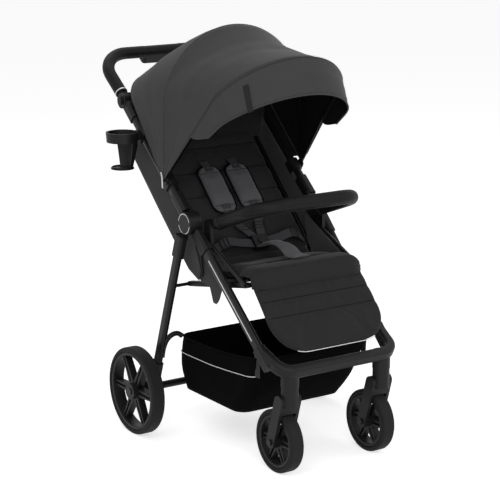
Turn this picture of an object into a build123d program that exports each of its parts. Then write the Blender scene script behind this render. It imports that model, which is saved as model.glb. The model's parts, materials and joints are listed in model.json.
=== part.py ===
"""Folding baby stroller, in millimetres: +Z up, front towards -Y, floor at Z = 0.

The side hinges carry three members on one pin: the handle tubes, the front legs and the rear legs.
Left is +X and right is -X, as seen by the person who pushes.
"""

import os
from math import atan2, cos, degrees, hypot, radians, sin

from build123d import *

# Wheels and casters
REAR_WHEEL_D = 236.0
REAR_TYRE_W = 38.0
REAR_TRACK = 583.0
FRONT_WHEEL_D = 164.0
FRONT_TYRE_W = 37.0
FRONT_TRACK = 287.0
TYRE_DEPTH = 13.0
TYRE_CORNER = 5.8
RIM_DEPTH = 9.0
RIM_CORNER = 2.0
REAR_HUB_D = 44.0
FRONT_HUB_D = 34.0
REAR_HUB_W = 44.0
FRONT_HUB_W = 41.0
SPOKES = 6
SPOKE_ROOT_W = 26.0
SPOKE_TIP_W = 13.0
SPOKE_T = 20.0
SPOKE_DISH = 6.0
REAR_AXLE_D = 12.0
FRONT_AXLE_D = 10.0
REAR_AXLE_Y = 85.0
STEM_Y = -413.0
CASTER_TRAIL = 42.0
STEM_D = 12.0
STEM_TOP_Z = 276.0
CASTER_SEAM_Z = 234.5
FORK_CROWN_D = 44.0
FORK_ARM_W = 32.0
FORK_ARM_T = 9.0
FORK_WHEEL_GAP = 6.0
FORK_HUB_GAP = 1.0
AXLE_HEAD_T = 4.0
AXLE_HEAD_SHARE = 0.8
STUB_HEAD_T = 2.0
FORK_BRIDGE_Z = 197.0
BUSH_WALL = 4.0

# Side hinge
HINGE_Y = -49.0
HINGE_Z = 589.0
KNUCKLE_D = 60.0
KNUCKLE_T = 10.0
KNUCKLE_IN_X = 184.0
HINGE_PIN_D = 12.0
HINGE_HEAD_D = 22.0
HINGE_HEAD_T = 5.0
HINGE_CAP_D = 60.0
HINGE_CAP_T = 6.0
RING_D = 58.0
RING_W = 2.2
RING_PROUD = 0.8
RING_GAP_DEG = 24.0
SLEEVE_START = 34.0
SLEEVE_END = 95.0
SLEEVE_WALL = 3.0
NECK_W = 26.0

# Frame tubes: width across X by depth in side view, with corners rounded to a share of the width
TUBE_WALL = 1.8
OVAL = 0.45
HANDLE_TUBE_X = 199.0
HANDLE_TUBE_W = 22.0
HANDLE_TUBE_H = 28.0
HANDLE_ANGLE = 40.5
HANDLE_TUBE_L = 428.0
FRONT_LEG_W = 16.0
FRONT_LEG_H = 30.0
FRONT_LEG_FOOT_X = 184.0
FRONT_LEG_ANGLE = 222.8
FRONT_LEG_L = 440.0
REAR_LEG_X = 222.0
REAR_LEG_W = 16.0
REAR_LEG_H = 28.0
REAR_LEG_FOOT_X = 240.0
TRIM_W = 4.0
TRIM_T = 0.8
TRIM_L = 250.0
TRIM_FOOT = 70.0

# Push handle
GRIP_D = 32.0
GRIP_ANGLE = 36.0
GRIP_REACH = 181.0
GRIP_BEND_R = 85.0
CLEVIS_D = 42.0
CLEVIS_EAR_T = 5.0
EYE_D = 34.0
EYE_W = 20.0
GRIP_START = 25.0
GRIP_EYE_LAP = 2.0
EYE_NECK = 0.7
CLEVIS_CUT = 4.0
TILT_HEAD_T = 2.0
TILT_PIN_D = 8.0
BUTTON_D = 17.0
BUTTON_T = 6.0
BUTTON_TRAVEL = 3.0
BUTTON_GUARD_WALL = 3.0
GRIP_RING_T = 4.0
GRIP_RING_PROUD = 1.5
LATCH_L = 112.0
LATCH_H = 30.0
LATCH_W = 30.0
TRIGGER_L = 62.0
TRIGGER_H = 14.0
TRIGGER_W = 16.0
TRIGGER_TRAVEL = 6.0

# Bumper bar
BUMPER_D = 36.0
BUMPER_PIVOT_Y = -99.0
BUMPER_PIVOT_Z = 590.0
BUMPER_ANGLE = 159.6
BUMPER_REACH = 218.0
BUMPER_END_X = 159.0
BUMPER_CORNER_X = 158.0
BUMPER_BEND_R = 72.0
BUMPER_START = 19.0
BUMPER_EYE_D = 26.0
BUMPER_PIN_D = 10.0
BRACKET_IN_X = 172.0
BRACKET_T = 10.0
BRACKET_D = 30.0
BRACKET_FOOT = 70.0
STUD_D = 20.0
BUMPER_EYE_LAP = 2.0
BUMPER_NECK = 0.8

# Front crossbar
BAR_W = 26.0
BAR_H = 32.0
BAR_CORNER = 9.0
BAR_FRONT_Y = -428.0
BAR_FRONT_Z = 276.0
BAR_ARM_L = 89.0
BAR_ARM_RISE = 25.0
BAR_CORNER_X = 172.0
BAR_BEND_R = 40.0
RECEIVER_D = 46.0
RECEIVER_H = 46.0
LOCK_W = 16.0
LOCK_T = 5.0
LOCK_H = 16.0
LOCK_TRAVEL = 5.0
LOCK_CORNER = 0.3
SOCKET_UP = 46.0
SOCKET_DOWN = 14.0
SOCKET_WALL = 4.0

# Seat
RAIL_X = 172.0
RAIL_W = 12.0
RAIL_H = 14.0
RAIL_REAR_Y = -1.0
RAIL_REAR_Z = 414.0
RAIL_L = 273.0
SEAT_SLOPE = 11.0
REAR_CROSS_AT = 90.0
PAN_START = 75.0
PAN_END = 265.0
PAN_T = 6.0
PAN_LEDGE = 4.0
CUSHION_START = 95.0
CUSHION_END = 257.0
CUSHION_T = 26.0
CUSHION_HALF_W = 158.0
CUSHION_PULL = 4.0
SIDE_TUBE_D = 12.0
LINK_PIN_D = 9.0
LINK_GAP = 1.0

# Calf rest
CALF_ANGLE = 227.7
CALF_START = 14.0
CALF_END = 210.0
CALF_W = 340.0
CALF_CORNER = 70.0
CALF_PULL = 3.0
CALF_T = 16.0
CALF_FRONT = 20.5
CALF_BOARD_T = 4.0
CALF_BOARD_INSET = 12.0
CALF_HOOK_W = 40.0
CALF_HOOK_X = 110.0
CALF_HOOK_WALL = 3.0
CALF_GROOVES = (48.0, 94.0)

# Backrest, in lengths along the handle tubes from the hinge and depths behind them
BACK_START = -84.0
BACK_END = 318.0
BACK_FOOT_DEPTH = 84.0
BACK_TOP_DEPTH = 54.0
BACK_HALF_W = 166.0
BACK_CUSHION_T = 26.0
BACK_PULL = 5.0
BACK_GROOVES = (60.0, 122.0, 184.0, 246.0)
BACK_SIDE_GAP = 6.0
BACK_SHELL_T = 5.0
BACK_SHELL_START = 4.0
SHELL_TOP_DEPTH = 62.0
SHELL_KNEE = 64.0
SHELL_KNEE_DEPTH = 38.0
SHELL_FOOT_DEPTH = 20.0
RECLINE_AT = -100.0
RECLINE_DEPTH = 84.0
RECLINE_ROD_D = 10.0
RECLINE_JOURNAL_D = 8.0
RECLINE_ARM_W = 24.0
RECLINE_ARM_T = 2.4
LUG_D = 16.0

# Side cloth: the wing's corners as length along the tube and depth, the panel's as (Y, Z)
WING_X = 187.0
WING_T = 2.5
WING_TUCK = 0.7
WING_OUTLINE = ((38, 0), (330, 0), (330, 108), (0, 118), (-60, 120), (-112, 104), (-100, 76), (-38, 52))
PANEL_T = 2.5
PANEL_OUTLINE = (
    (-65.5, 541),
    (-154, 459),
    (-148, 428),
    (-141, 396),
    (-123, 392),
    (-113, 430),
    (-116, 447),
    (-27, 497),
    (-37, 545),
)

# Pads: share of the thickness and how far the outline draws in there
PAD_LAYERS = ((0.0, 5.0), (0.45, 0.0), (0.85, 4.0), (1.0, 12.0))
GROOVE_R = 4.0
GROOVE_DEPTH = 2.5

# Harness
SHOULDER_PAD_X = 44.0
SHOULDER_PAD_W = 54.0
SHOULDER_PAD_L = 150.0
SHOULDER_PAD_T = 14.0
SHOULDER_PAD_PULL = 2.0
SHOULDER_PAD_AT = 196.0
STRAP_W = 25.0
STRAP_T = 2.0
STRAP_GAP = 0.6
STRAP_SLANT = 5.0
LAP_STRAP_X = 146.0
BUCKLE_W = 46.0
BUCKLE_H = 40.0
BUCKLE_T = 16.0
BUCKLE_CORNER = 8.0
BUCKLE_Y = -73.0
BUCKLE_Z = 517.0
BUCKLE_BUTTON_D = 18.0
BUCKLE_BUTTON_T = 5.0
BUCKLE_TRAVEL = 2.5
CROTCH_W = 46.0
CROTCH_T = 9.0
CROTCH_RISE = 24.0
CROTCH_FRONT = 235.0

# Canopy: each bow lies in a plane through the pivots, at an angle from +Y towards +Z
CANOPY_ON_TUBE = 138.0
CANOPY_FORWARD = 11.2
CANOPY_PIVOT_D = 10.0
CANOPY_PIVOT_L = 9.5
CANOPY_BASE_X = 222.6
CANOPY_BASE_R = 8.0
CANOPY_SKIN = 2.6
CANOPY_CLIP_L = 34.0
CANOPY_CLIP_WALL = 4.0
BOW_T = 1.8
BOW_W = 6.0
BOW_GAP = 1.5
BOW_HUB_D = 24.0
BOW_ROOT = 30.0
PANEL_GAP_DEG = 0.06
# Each arch: angle, half-width, shoulder radius, crown radius, corner radius
REAR_EDGE = (47.0, 213.0, 260.0, 362.0, 82.0)
REAR_STAY = (68.0, 217.0, 212.0, 368.0, 115.0)
MAIN_BOW = (90.0, 218.0, 190.0, 393.0, 145.0)
MID_STAY = (110.5, 204.0, 238.0, 388.0, 118.0)
FRONT_BOW = (131.0, 190.0, 292.0, 442.0, 105.0)
VISOR_EDGE = (143.5, 187.0, 250.0, 406.0, 100.0)
VISOR_START = 150.0

# Basket
BASKET_FLOOR_Z = 112.0
BASKET_RIM_Z = 286.0
BASKET_REAR_RIM_Z = 258.0
BASKET_FLOOR_HALF_W = 150.0
BASKET_RIM_HALF_W = 172.0
BASKET_FLOOR_FRONT_Y = -221.0
BASKET_FLOOR_REAR_Y = 50.0
BASKET_RIM_FRONT_Y = -329.0
BASKET_RIM_REAR_Y = 58.0
BASKET_CORNER = 34.0
BASKET_WALL = 3.0
BASKET_SAG = 10.0
HANGER_W = 20.0
HANGER_T = 2.0
HANGER_LAP = 30.0
FRONT_HANGER_Y = -307.0
REAR_HANGER_Y = -9.0

# Rear axle and brake
AXLE_TUBE_D = 20.0
DRUM_D = 48.0
DRUM_IN_X = 226.0
DRUM_GAP = 0.6
DRUM_SOCKET = 1.4
BRAKE_W = 86.0
BRAKE_SLEEVE_D = 30.0
BRAKE_PADDLE_L = 62.0
BRAKE_PADDLE_T = 8.0
BRAKE_COLLAR_T = 6.0

# Cup holder on the right handle tube
CUP_R = 38.0
CUP_WALL = 3.0
CUP_RING_H = 26.0
CUP_H = 98.0
CUP_AT = 305.0
CUP_GAP_X = 12.0
CUP_BASE_R = 25.0
CUP_TAPER_AT = 38.0
CUP_FLARE = 2.0
CUP_LIP = 3.0
CUP_WINDOW_H = 66.0
CUP_WINDOW_BACK = 8.0
CUP_RELIEF = 0.8
CUP_ARM_W = 14.0
CUP_CLAMP_L = 30.0
CUP_CLAMP_WALL = 4.0

# Clearances
RUN = 0.05
FIT = 0.1
GAP = 0.3
STACK = 0.3

HINGE = (HINGE_Y, HINGE_Z)
REAR_AXLE = (REAR_AXLE_Y, REAR_WHEEL_D / 2)
FRONT_AXLE = (STEM_Y + CASTER_TRAIL, FRONT_WHEEL_D / 2)


def polar(centre, angle, radius):
    """Point at a radius and angle from a centre, in the side view's (Y, Z)."""
    return (centre[0] + radius * cos(radians(angle)), centre[1] + radius * sin(radians(angle)))


def along(centre, angle, distance, depth):
    """Point a distance along a line and a depth to the right of it, in (Y, Z)."""
    return polar(polar(centre, angle, distance), angle - 90, depth)


def side_plane(x):
    """Sketch plane at X = x whose own axes are +Y and +Z, extruding towards +X."""
    return Plane(origin=(x, 0, 0), x_dir=(0, 1, 0), z_dir=(1, 0, 0))


def save(builder, node):
    """Label a finished piece and write it under its name."""
    builder.part.label = node
    export_step(builder.part, f"parts/{node}.step")


def save_pair(builder, stem):
    """Write a left-hand piece and its mirror image."""
    save(builder, f"{stem}_left")
    with BuildPart() as twin:
        mirror(builder.part, about=Plane.YZ)
    save(twin, f"{stem}_right")


def save_both(builder, node):
    """Write a left-hand piece and its mirror image as one node of two solids."""
    with BuildPart() as both:
        add(builder.part)
        mirror(builder.part, about=Plane.YZ)
    save(both, node)


def member_plane(start, end):
    """Plane across a straight member, with its own X nearest to global X."""
    return Plane(origin=start, x_dir=(1, 0, 0), z_dir=Vector(*end) - Vector(*start))


def bar(start, end, width, depth, corner, wall=0):
    """Straight tube of rounded section between two points, or a solid bar with no wall."""
    with BuildPart() as piece:
        with BuildSketch(member_plane(start, end)):
            RectangleRounded(width, depth, corner)
            if wall:
                inner_corner = max(corner - wall, 0.5)
                RectangleRounded(width - 2 * wall, depth - 2 * wall, inner_corner, mode=Mode.SUBTRACT)
        extrude(amount=(Vector(*end) - Vector(*start)).length)
    return piece


def lerp3(start, end, distance):
    """Point at a distance from start towards end, in space."""
    step = Vector(*end) - Vector(*start)
    point = Vector(*start) + step * (distance / step.length)
    return (point.X, point.Y, point.Z)


os.makedirs("parts", exist_ok=True)


# Wheels: a soft tyre on a dished, spoked rim


def make_tyre(centre, diameter, width):
    """Tyre ring of rounded section on an axle along X."""
    with BuildPart() as tyre:
        with BuildSketch(Plane(origin=centre, x_dir=(1, 0, 0), z_dir=(0, -1, 0))):
            with Locations((0, (diameter - TYRE_DEPTH) / 2)):
                RectangleRounded(width, TYRE_DEPTH, TYRE_CORNER)
        revolve(axis=Axis(centre, (1, 0, 0)))
    return tyre


def make_rim(centre, diameter, width, hub_d, hub_w, axle_d):
    """Rim, spokes and hub in one moulding, with the axle's bore."""
    seat_r = diameter / 2 - TYRE_DEPTH - FIT
    ring_r = seat_r - RIM_DEPTH / 2
    x, y, z = centre
    with BuildPart() as rim:
        with BuildSketch(Plane(origin=centre, x_dir=(1, 0, 0), z_dir=(0, -1, 0))):
            with Locations((0, ring_r)):
                RectangleRounded(width - 2 * RIM_CORNER, RIM_DEPTH, RIM_CORNER)
        revolve(axis=Axis(centre, (1, 0, 0)))
        with BuildSketch(side_plane(x - hub_w / 2)):
            with Locations((y, z)):
                Circle(hub_d / 2)
        extrude(amount=hub_w)
        with BuildSketch(side_plane(x - SPOKE_T / 2)):
            with Locations((y, z)):
                with PolarLocations(0, SPOKES):
                    Polygon(
                        (0, -SPOKE_ROOT_W / 2),
                        (ring_r, -SPOKE_TIP_W / 2),
                        (ring_r, SPOKE_TIP_W / 2),
                        (0, SPOKE_ROOT_W / 2),
                        align=None,
                    )
        extrude(amount=SPOKE_T)
        for face_x, way in ((x - SPOKE_T / 2, 1), (x + SPOKE_T / 2, -1)):
            with BuildSketch(side_plane(face_x)):
                with Locations((y, z)):
                    with PolarLocations((hub_d / 2 + ring_r - RIM_DEPTH / 2) / 2, SPOKES):
                        SlotOverall(
                            ring_r - RIM_DEPTH / 2 - hub_d / 2 - SPOKE_DISH,
                            SPOKE_TIP_W / 2,
                        )
            extrude(amount=way * SPOKE_DISH, mode=Mode.SUBTRACT)
        with BuildSketch(side_plane(x - hub_w / 2)):
            with Locations((y, z)):
                Circle(axle_d / 2 + RUN)
        extrude(amount=hub_w, mode=Mode.SUBTRACT)
    return rim


rear_wheel_at = (REAR_TRACK / 2, *REAR_AXLE)
save_pair(make_tyre(rear_wheel_at, REAR_WHEEL_D, REAR_TYRE_W), "rear_tyre")
rear_rim = make_rim(rear_wheel_at, REAR_WHEEL_D, REAR_TYRE_W, REAR_HUB_D, REAR_HUB_W, REAR_AXLE_D)
save_pair(rear_rim, "rear_rim")
front_wheel_at = (FRONT_TRACK / 2, *FRONT_AXLE)
save_pair(make_tyre(front_wheel_at, FRONT_WHEEL_D, FRONT_TYRE_W), "front_tyre")
front_rim = make_rim(front_wheel_at, FRONT_WHEEL_D, FRONT_TYRE_W, FRONT_HUB_D, FRONT_HUB_W, FRONT_AXLE_D)
save_pair(front_rim, "front_rim")


# Caster forks: a round crown on a stem, bridged over the wheel to two arms

fork_x = FRONT_TRACK / 2
arm_in = FRONT_HUB_W / 2 + FORK_HUB_GAP
fork_half_w = arm_in + FORK_ARM_T
fork_top_z = CASTER_SEAM_Z - GAP
bridge_at = (STEM_Y + FORK_ARM_W / 4, FORK_BRIDGE_Z)
arm_run = hypot(bridge_at[0] - FRONT_AXLE[0], bridge_at[1] - FRONT_AXLE[1])
arm_angle = degrees(atan2(bridge_at[1] - FRONT_AXLE[1], bridge_at[0] - FRONT_AXLE[0]))
arm_middle = polar(FRONT_AXLE, arm_angle, arm_run / 2)
with BuildPart() as fork:
    with BuildSketch(side_plane(fork_x - fork_half_w)):
        with Locations(arm_middle):
            SlotCenterToCenter(arm_run, FORK_ARM_W, rotation=arm_angle)
    extrude(amount=2 * fork_half_w)
    with BuildSketch(Plane.XY.offset(FORK_BRIDGE_Z - FORK_ARM_W / 2)):
        with Locations((fork_x, STEM_Y)):
            Circle(FORK_CROWN_D / 2)
    extrude(amount=fork_top_z - FORK_BRIDGE_Z + FORK_ARM_W / 2)
    with BuildSketch(Plane.XY.offset(fork_top_z)):
        with Locations((fork_x, STEM_Y)):
            Circle(STEM_D / 2)
    extrude(amount=STEM_TOP_Z - fork_top_z)
    with BuildSketch(side_plane(fork_x - arm_in)):
        with Locations(FRONT_AXLE):
            Circle(FRONT_WHEEL_D / 2 + FORK_WHEEL_GAP)
    extrude(amount=2 * arm_in, mode=Mode.SUBTRACT)
    with BuildSketch(side_plane(fork_x - fork_half_w)):
        with Locations(FRONT_AXLE):
            Circle(FRONT_AXLE_D / 2 + RUN)
    extrude(amount=2 * fork_half_w, mode=Mode.SUBTRACT)
save_pair(fork, "caster_fork")

axle_half = fork_half_w + AXLE_HEAD_T / 2
with BuildPart() as front_axle:
    with BuildSketch(side_plane(fork_x - axle_half)):
        with Locations(FRONT_AXLE):
            Circle(FRONT_AXLE_D / 2)
    extrude(amount=2 * axle_half)
    for head_x in (fork_x - fork_half_w - AXLE_HEAD_T, fork_x + fork_half_w + FIT):
        with BuildSketch(side_plane(head_x)):
            with Locations(FRONT_AXLE):
                Circle(FRONT_AXLE_D * AXLE_HEAD_SHARE)
        extrude(amount=AXLE_HEAD_T - FIT)
save_pair(front_axle, "front_axle")


# Front crossbar: one bent moulding from leg to leg, with a receiver over each caster

leg_foot = (FRONT_LEG_FOOT_X, *polar(HINGE, FRONT_LEG_ANGLE, FRONT_LEG_L))
leg_top = (HANDLE_TUBE_X, HINGE_Y, HINGE_Z)
bar_origin = (0, BAR_FRONT_Y, BAR_FRONT_Z)
bar_back = (cos(radians(BAR_ARM_RISE)), sin(radians(BAR_ARM_RISE)))
bar_plane = Plane(origin=bar_origin, x_dir=(1, 0, 0), z_dir=(0, -bar_back[1], bar_back[0]))
bush_r = STEM_D / 2 + BUSH_WALL
with BuildPart() as crossbar:
    with BuildLine(bar_plane):
        FilletPolyline(
            (leg_foot[0], BAR_ARM_L),
            (BAR_CORNER_X, 0),
            (-BAR_CORNER_X, 0),
            (-leg_foot[0], BAR_ARM_L),
            radius=BAR_BEND_R,
        )
    arm_back = Vector(leg_foot[0] - BAR_CORNER_X, BAR_ARM_L * bar_back[0], BAR_ARM_L * bar_back[1])
    arm_end = Vector(*bar_origin) + Vector(leg_foot[0], BAR_ARM_L * bar_back[0], BAR_ARM_L * bar_back[1])
    with BuildSketch(Plane(origin=arm_end, x_dir=(1, 0, 0), z_dir=arm_back * -1)):
        RectangleRounded(BAR_W, BAR_H, BAR_CORNER)
    sweep()
    for side in (1, -1):
        foot = (side * leg_foot[0], *leg_foot[1:])
        top = (side * leg_top[0], *leg_top[1:])
        socket_end = lerp3(foot, top, SOCKET_UP)
        socket_start = lerp3(foot, top, -SOCKET_DOWN)
        with BuildSketch(member_plane(socket_start, socket_end)):
            RectangleRounded(FRONT_LEG_W + 2 * SOCKET_WALL, FRONT_LEG_H + 2 * SLEEVE_WALL, BAR_CORNER)
        extrude(amount=SOCKET_UP + SOCKET_DOWN)
        with BuildSketch(Plane.XY.offset(CASTER_SEAM_Z)):
            with Locations((side * fork_x, STEM_Y)):
                Circle(RECEIVER_D / 2)
        extrude(amount=RECEIVER_H)
    for side in (1, -1):
        foot = (side * leg_foot[0], *leg_foot[1:])
        top = (side * leg_top[0], *leg_top[1:])
        with BuildSketch(member_plane(foot, top)):
            RectangleRounded(FRONT_LEG_W + 2 * FIT, FRONT_LEG_H + 2 * FIT, FRONT_LEG_W * OVAL)
        extrude(amount=2 * SOCKET_UP, mode=Mode.SUBTRACT)
        with BuildSketch(Plane.XY.offset(CASTER_SEAM_Z)):
            with Locations((side * fork_x, STEM_Y)):
                Circle(bush_r + FIT)
        extrude(amount=STEM_TOP_Z + GAP - CASTER_SEAM_Z, mode=Mode.SUBTRACT)
save(crossbar, "front_crossbar")

with BuildPart() as bushes:
    with BuildSketch(Plane.XY.offset(CASTER_SEAM_Z)):
        with Locations((fork_x, STEM_Y), (-fork_x, STEM_Y)):
            Circle(bush_r)
            Circle(STEM_D / 2 + RUN, mode=Mode.SUBTRACT)
    extrude(amount=STEM_TOP_Z - CASTER_SEAM_Z)
save(bushes, "stem_bushes")

lock_y = STEM_Y + RECEIVER_D / 2 + GAP
lock_z = CASTER_SEAM_Z + LOCK_TRAVEL + GAP
with BuildPart() as swivel_lock:
    with BuildSketch(Plane.XY.offset(lock_z)):
        with Locations((fork_x, lock_y + LOCK_T / 2)):
            RectangleRounded(LOCK_W, LOCK_T, LOCK_T * LOCK_CORNER)
    extrude(amount=LOCK_H)
save_pair(swivel_lock, "swivel_lock")


# Side hinges: three knuckles on one pin, each with a sleeve for its tube


tube_start = SLEEVE_START + 2 * SLEEVE_WALL


def knuckle(inner_x, neck_x, angle, start, end, width, depth):
    """Hinge disc, a neck outside neck_x and a sleeve that the tube from start to end slides into."""
    sleeve_from = lerp3(start, end, SLEEVE_START)
    with BuildPart() as piece:
        with BuildSketch(side_plane(inner_x)):
            with Locations(HINGE):
                Circle(KNUCKLE_D / 2)
        extrude(amount=KNUCKLE_T)
        with BuildSketch(side_plane(neck_x)):
            with Locations(polar(HINGE, angle, tube_start / 2)):
                Rectangle(tube_start, NECK_W, rotation=angle)
        extrude(amount=inner_x + KNUCKLE_T - neck_x)
        with BuildSketch(member_plane(sleeve_from, end)):
            RectangleRounded(width + 2 * SLEEVE_WALL, depth + 2 * SLEEVE_WALL, width * OVAL)
        extrude(amount=SLEEVE_END - SLEEVE_START)
        with BuildSketch(member_plane(lerp3(start, end, tube_start), end)):
            RectangleRounded(width + 2 * FIT, depth + 2 * FIT, width * OVAL)
        extrude(amount=SLEEVE_END - SLEEVE_START, mode=Mode.SUBTRACT)
        with BuildSketch(side_plane(inner_x)):
            with Locations(HINGE):
                Circle(HINGE_PIN_D / 2 + RUN)
        extrude(amount=KNUCKLE_T, mode=Mode.SUBTRACT)
    return piece


front_knuckle_x = KNUCKLE_IN_X + KNUCKLE_T + STACK
rear_knuckle_x = front_knuckle_x + KNUCKLE_T + STACK
rear_neck_x = HANDLE_TUBE_X + FRONT_LEG_W / 2 + SLEEVE_WALL + 2 * GAP
cap_x = rear_knuckle_x + KNUCKLE_T + STACK
tilt_pivot = polar(HINGE, HANDLE_ANGLE, HANDLE_TUBE_L)
handle_low = (HANDLE_TUBE_X, *HINGE)
handle_high = (HANDLE_TUBE_X, *tilt_pivot)
rear_top = (REAR_LEG_X, *HINGE)
rear_foot = (REAR_LEG_FOOT_X, *REAR_AXLE)
rear_angle = degrees(atan2(REAR_AXLE[1] - HINGE_Z, REAR_AXLE[0] - HINGE_Y))

recline_pivot = along(HINGE, HANDLE_ANGLE, RECLINE_AT, RECLINE_DEPTH)
recline_run = hypot(RECLINE_AT, RECLINE_DEPTH)
recline_way = degrees(atan2(recline_pivot[1] - HINGE_Z, recline_pivot[0] - HINGE_Y))
recline_arm_out_x = KNUCKLE_IN_X + RECLINE_ARM_T
canopy_pivot = along(HINGE, HANDLE_ANGLE, CANOPY_ON_TUBE, -CANOPY_FORWARD)
with BuildPart() as upper:
    handle_section = (HANDLE_TUBE_W, HANDLE_TUBE_H)
    add(knuckle(KNUCKLE_IN_X, KNUCKLE_IN_X, HANDLE_ANGLE, handle_low, handle_high, *handle_section).part)
    with BuildSketch(side_plane(KNUCKLE_IN_X)):
        with Locations(polar(HINGE, recline_way, recline_run / 2)):
            SlotCenterToCenter(recline_run, RECLINE_ARM_W, rotation=recline_way)
        with Locations(HINGE):
            Circle(HINGE_PIN_D / 2 + RUN, mode=Mode.SUBTRACT)
        with Locations(recline_pivot):
            Circle(RECLINE_JOURNAL_D / 2 + RUN, mode=Mode.SUBTRACT)
    extrude(amount=RECLINE_ARM_T)
save_both(upper, "handle_knuckles")
front_section = (FRONT_LEG_W, FRONT_LEG_H)
lower = knuckle(front_knuckle_x, front_knuckle_x, FRONT_LEG_ANGLE, leg_top, leg_foot, *front_section)
save_both(lower, "front_knuckles")
hind = knuckle(rear_knuckle_x, rear_neck_x, rear_angle, rear_top, rear_foot, REAR_LEG_W, REAR_LEG_H)
save_both(hind, "rear_knuckles")

with BuildPart() as hinge_pins:
    with BuildSketch(side_plane(KNUCKLE_IN_X - GAP)):
        with Locations(HINGE):
            Circle(HINGE_PIN_D / 2)
    extrude(amount=cap_x + HINGE_CAP_T / 2 - KNUCKLE_IN_X + GAP)
    with BuildSketch(side_plane(KNUCKLE_IN_X - GAP - HINGE_HEAD_T)):
        with Locations(HINGE):
            Circle(HINGE_HEAD_D / 2)
    extrude(amount=HINGE_HEAD_T)
    mirror(about=Plane.YZ)
save(hinge_pins, "hinge_pins")

with BuildPart() as hinge_caps:
    with BuildSketch(side_plane(cap_x)):
        with Locations(HINGE):
            Circle(HINGE_CAP_D / 2)
    extrude(amount=HINGE_CAP_T)
    outer_rim = hinge_caps.faces().sort_by(Axis.X)[-1].edges()
    chamfer(outer_rim, HINGE_CAP_T / 4)
    with BuildSketch(side_plane(cap_x)):
        with Locations(HINGE):
            Circle(HINGE_PIN_D / 2 + RUN)
    extrude(amount=HINGE_CAP_T / 2 + FIT, mode=Mode.SUBTRACT)
    mirror(about=Plane.YZ)
save(hinge_caps, "hinge_caps")

# Frame tubes


def leg_tube(start, end, from_start, to_start, width, depth):
    """Hollow oval tube over part of the line from start to end."""
    low, high = lerp3(start, end, from_start), lerp3(start, end, to_start)
    return bar(low, high, width, depth, width * OVAL, TUBE_WALL)


front_leg_run = (Vector(*leg_foot) - Vector(*leg_top)).length
rear_leg_run = (Vector(*rear_foot) - Vector(*rear_top)).length
clevis_r = CLEVIS_D / 2
front_leg = leg_tube(leg_top, leg_foot, tube_start, front_leg_run, FRONT_LEG_W, FRONT_LEG_H)
save_both(front_leg, "front_legs")
rear_leg_end = rear_leg_run - DRUM_D / 2 - GAP
rear_leg = leg_tube(rear_top, rear_foot, tube_start, rear_leg_end, REAR_LEG_W, REAR_LEG_H)
save_both(rear_leg, "rear_legs")
handle_tube_end = HANDLE_TUBE_L - clevis_r - GAP
handle_tube = leg_tube(handle_low, handle_high, tube_start, handle_tube_end, HANDLE_TUBE_W, HANDLE_TUBE_H)
save_both(handle_tube, "handle_tubes")

trim_from = lerp3(leg_foot, leg_top, TRIM_FOOT + TRIM_L)
trim_to = lerp3(leg_foot, leg_top, TRIM_FOOT)
trim_out = (FRONT_LEG_W + TRIM_T) / 2
ring_span = 180 - RING_GAP_DEG
with BuildPart() as trims:
    with BuildSketch(member_plane(trim_from, trim_to)):
        with Locations((trim_out, 0)):
            Rectangle(TRIM_T, TRIM_W)
    extrude(amount=TRIM_L)
    with BuildSketch(side_plane(cap_x + HINGE_CAP_T)):
        for middle in (HANDLE_ANGLE + 45, HANDLE_ANGLE + 225):
            first, last = middle - ring_span / 2, middle + ring_span / 2
            with BuildLine():
                CenterArc(HINGE, RING_D / 2 - RING_W, first, ring_span)
                CenterArc(HINGE, RING_D / 2 - 2 * RING_W, first, ring_span)
                for end in (first, last):
                    Line(polar(HINGE, end, RING_D / 2 - 2 * RING_W), polar(HINGE, end, RING_D / 2 - RING_W))
            make_face()
    extrude(amount=RING_PROUD)
    mirror(about=Plane.YZ)
save(trims, "bright_trims")


# Rear axle: a cross tube between two drums, with a stub for each wheel

drum_out_x = REAR_TRACK / 2 - REAR_HUB_W / 2 - DRUM_GAP
stub_end_x = REAR_TRACK / 2 + REAR_HUB_W / 2 + GAP
with BuildPart() as axle_tube:
    with BuildSketch(side_plane(-drum_out_x)):
        with Locations(REAR_AXLE):
            Circle(AXLE_TUBE_D / 2)
            Circle(REAR_AXLE_D / 2 + FIT, mode=Mode.SUBTRACT)
    extrude(amount=2 * drum_out_x)
    for collar_x in (BRAKE_W / 2 + GAP, -BRAKE_W / 2 - GAP - BRAKE_COLLAR_T):
        with BuildSketch(side_plane(collar_x)):
            with Locations(REAR_AXLE):
                Circle(BRAKE_SLEEVE_D / 2 - GAP)
                Circle(AXLE_TUBE_D / 2 - TUBE_WALL, mode=Mode.SUBTRACT)
        extrude(amount=BRAKE_COLLAR_T)
save(axle_tube, "rear_axle_tube")

with BuildPart() as axle_stubs:
    with BuildSketch(side_plane(DRUM_IN_X)):
        with Locations(REAR_AXLE):
            Circle(REAR_AXLE_D / 2)
    extrude(amount=stub_end_x - DRUM_IN_X)
    with BuildSketch(side_plane(stub_end_x)):
        with Locations(REAR_AXLE):
            Circle(REAR_AXLE_D * AXLE_HEAD_SHARE)
    extrude(amount=STUB_HEAD_T)
    mirror(about=Plane.YZ)
save(axle_stubs, "rear_axle_stubs")

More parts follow.
